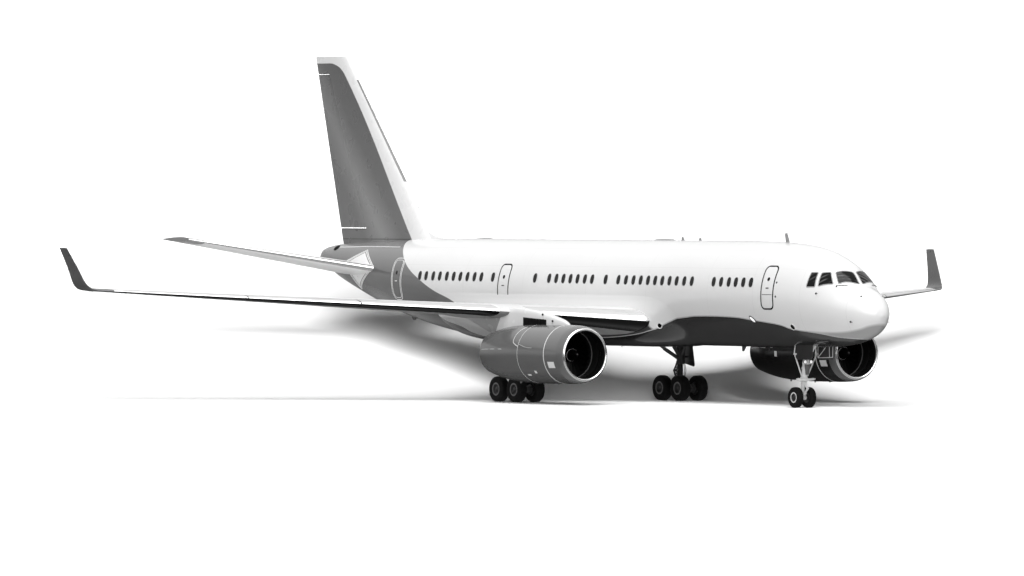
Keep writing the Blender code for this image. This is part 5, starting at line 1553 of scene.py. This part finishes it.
def build_stage():
    """A pale floor that rises gently behind the aircraft, seen from its upper side only."""
    across = Vector((VIEW_AHEAD.y, -VIEW_AHEAD.x, 0))
    points = [VIEW_AHEAD * depth + across * reach + Vector((0, 0, height))
              for depth, height in FLOOR for reach in (-FLOOR_REACH, FLOOR_REACH)]
    data = bpy.data.meshes.new("floor")
    data.from_pydata(points, [], [(first, first + 1, first + 3, first + 2) for first in range(0, len(points) - 2, 2)])
    data.shade_smooth()
    floor = linked("floor", data)
    material = bpy.data.materials.new("floor")
    material.use_nodes = True
    # Pale to the camera only: reflections see a near-black floor, lighter higher up the rise, as a painted reflection
    # of dark ground; other light sees a dim grey, which leaves the undersides in shade
    wire(material.node_tree, {
        "seen": ("BsdfDiffuse", {"Color": tone(0.60)}), "dim": ("BsdfDiffuse", {"Color": tone(0.24)}),
        "mirrored": ("BsdfDiffuse", {}), "place": ("NewGeometry", {}), "split": ("SeparateXYZ", {}),
        "far": ("MapRange", {"From Min": 0.1, "From Max": 1.0, "To Min": 0.04, "To Max": 0.2}),
        "path": ("LightPath", {}), "glossy": ("MixShader", {}), "shown": ("MixShader", {}),
        "clear": ("BsdfTransparent", {"Color": tone(1.0)}), "over": ("MixShader", {}), "out": ("OutputMaterial", {})},
        (("place", "Position", "split", 0), ("split", "Z", "far", "Value"), ("far", 0, "mirrored", "Color"),
         ("path", "Is Camera Ray", "shown", 0), ("path", "Is Glossy Ray", "glossy", 0), ("dim", 0, "glossy", 1),
         ("mirrored", 0, "glossy", 2), ("glossy", 0, "shown", 1), ("seen", 0, "shown", 2),
         ("place", "Backfacing", "over", 0), ("shown", 0, "over", 1), ("clear", 0, "over", 2),
         ("over", 0, "out", 0)))
    data.materials.append(material)
    return floor


def sun(name, energy, spread, direction, floor, lights_floor, through_floor):
    """A soft sun that lights only the floor, or all but the floor; it can shine up through the floor."""
    light = bpy.data.lights.new(name, "SUN")
    light.energy, light.angle = energy, radians(spread)
    lamp = linked(name, light)
    lamp.rotation_euler = Vector(direction).to_track_quat("-Z", "Y").to_euler()
    group = bpy.data.collections.new(name + "_floor")
    group.objects.link(floor)
    group.collection_objects[0].light_linking.link_state = "INCLUDE" if lights_floor else "EXCLUDE"
    lamp.light_linking.receiver_collection = group
    if through_floor:
        lamp.light_linking.blocker_collection = group


# Suns: name, strength, spread in degrees, direction, whether it lights only the floor, whether it shines through it
SUNS = (("overhead", 2.9, 50, (0.15, 0.25, -1.0), False, False),
        ("front_fill", 1.5, 60, (0.55, 0.60, -0.40), False, False),
        ("floor_glow", 0.85, 120, (0.1, 0.2, 1.0), False, True),
        ("floor_key", 13.5, 27, (0.5575 * 0.937, 0.8302 * 0.937, -0.35), True, False))


def build_light(floor):
    world = bpy.data.worlds.new("studio")
    bpy.context.scene.world = world
    world.use_nodes = True
    made = wire(world.node_tree, {
        "path": ("LightPath", {}), "white": ("Background", {"Color": tone(1.0), "Strength": 1.1}),
        "soft": ("Background", {"Strength": 0.20}), "mirror": ("Background", {"Strength": 1.0}),
        "place": ("TexCoord", {}), "split": ("SeparateXYZ", {}), "scaled": ("MapRange", {"From Min": -1}),
        "ramp": ("ValToRGB", {}), "lit": ("MixShader", {}), "shown": ("MixShader", {}), "out": ("OutputWorld", {})},
        (("place", "Generated", "split", 0), ("split", "Z", "scaled", 0), ("scaled", 0, "ramp", 0),
         ("ramp", 0, "mirror", "Color"), ("path", "Is Glossy Ray", "lit", 0), ("soft", 0, "lit", 1),
         ("mirror", 0, "lit", 2), ("path", "Is Camera Ray", "shown", 0), ("lit", 0, "shown", 1),
         ("white", 0, "shown", 2), ("shown", 0, "out", 0)))
    stops = made["ramp"].color_ramp.elements
    stops[0].color, stops[1].color = tone(0.02), tone(1.0)
    for position, level in ((0.49, 0.05), (0.52, 0.45), (0.58, 0.70), (0.8, 0.95)):
        stops.new(position).color = tone(level)
    for name, energy, spread, direction, lights_floor, through_floor in SUNS:
        sun(name, energy, spread, direction, floor, lights_floor, through_floor)
    bpy.context.scene.view_settings.view_transform = "Standard"


build_fuselage()
build_windows()
build_doors()
build_panes()
build_fairing()
build_wings()
build_tail()
build_engines()
build_main_gear()
build_nose_gear()
build_fittings()
build_camera()
build_light(build_stage())
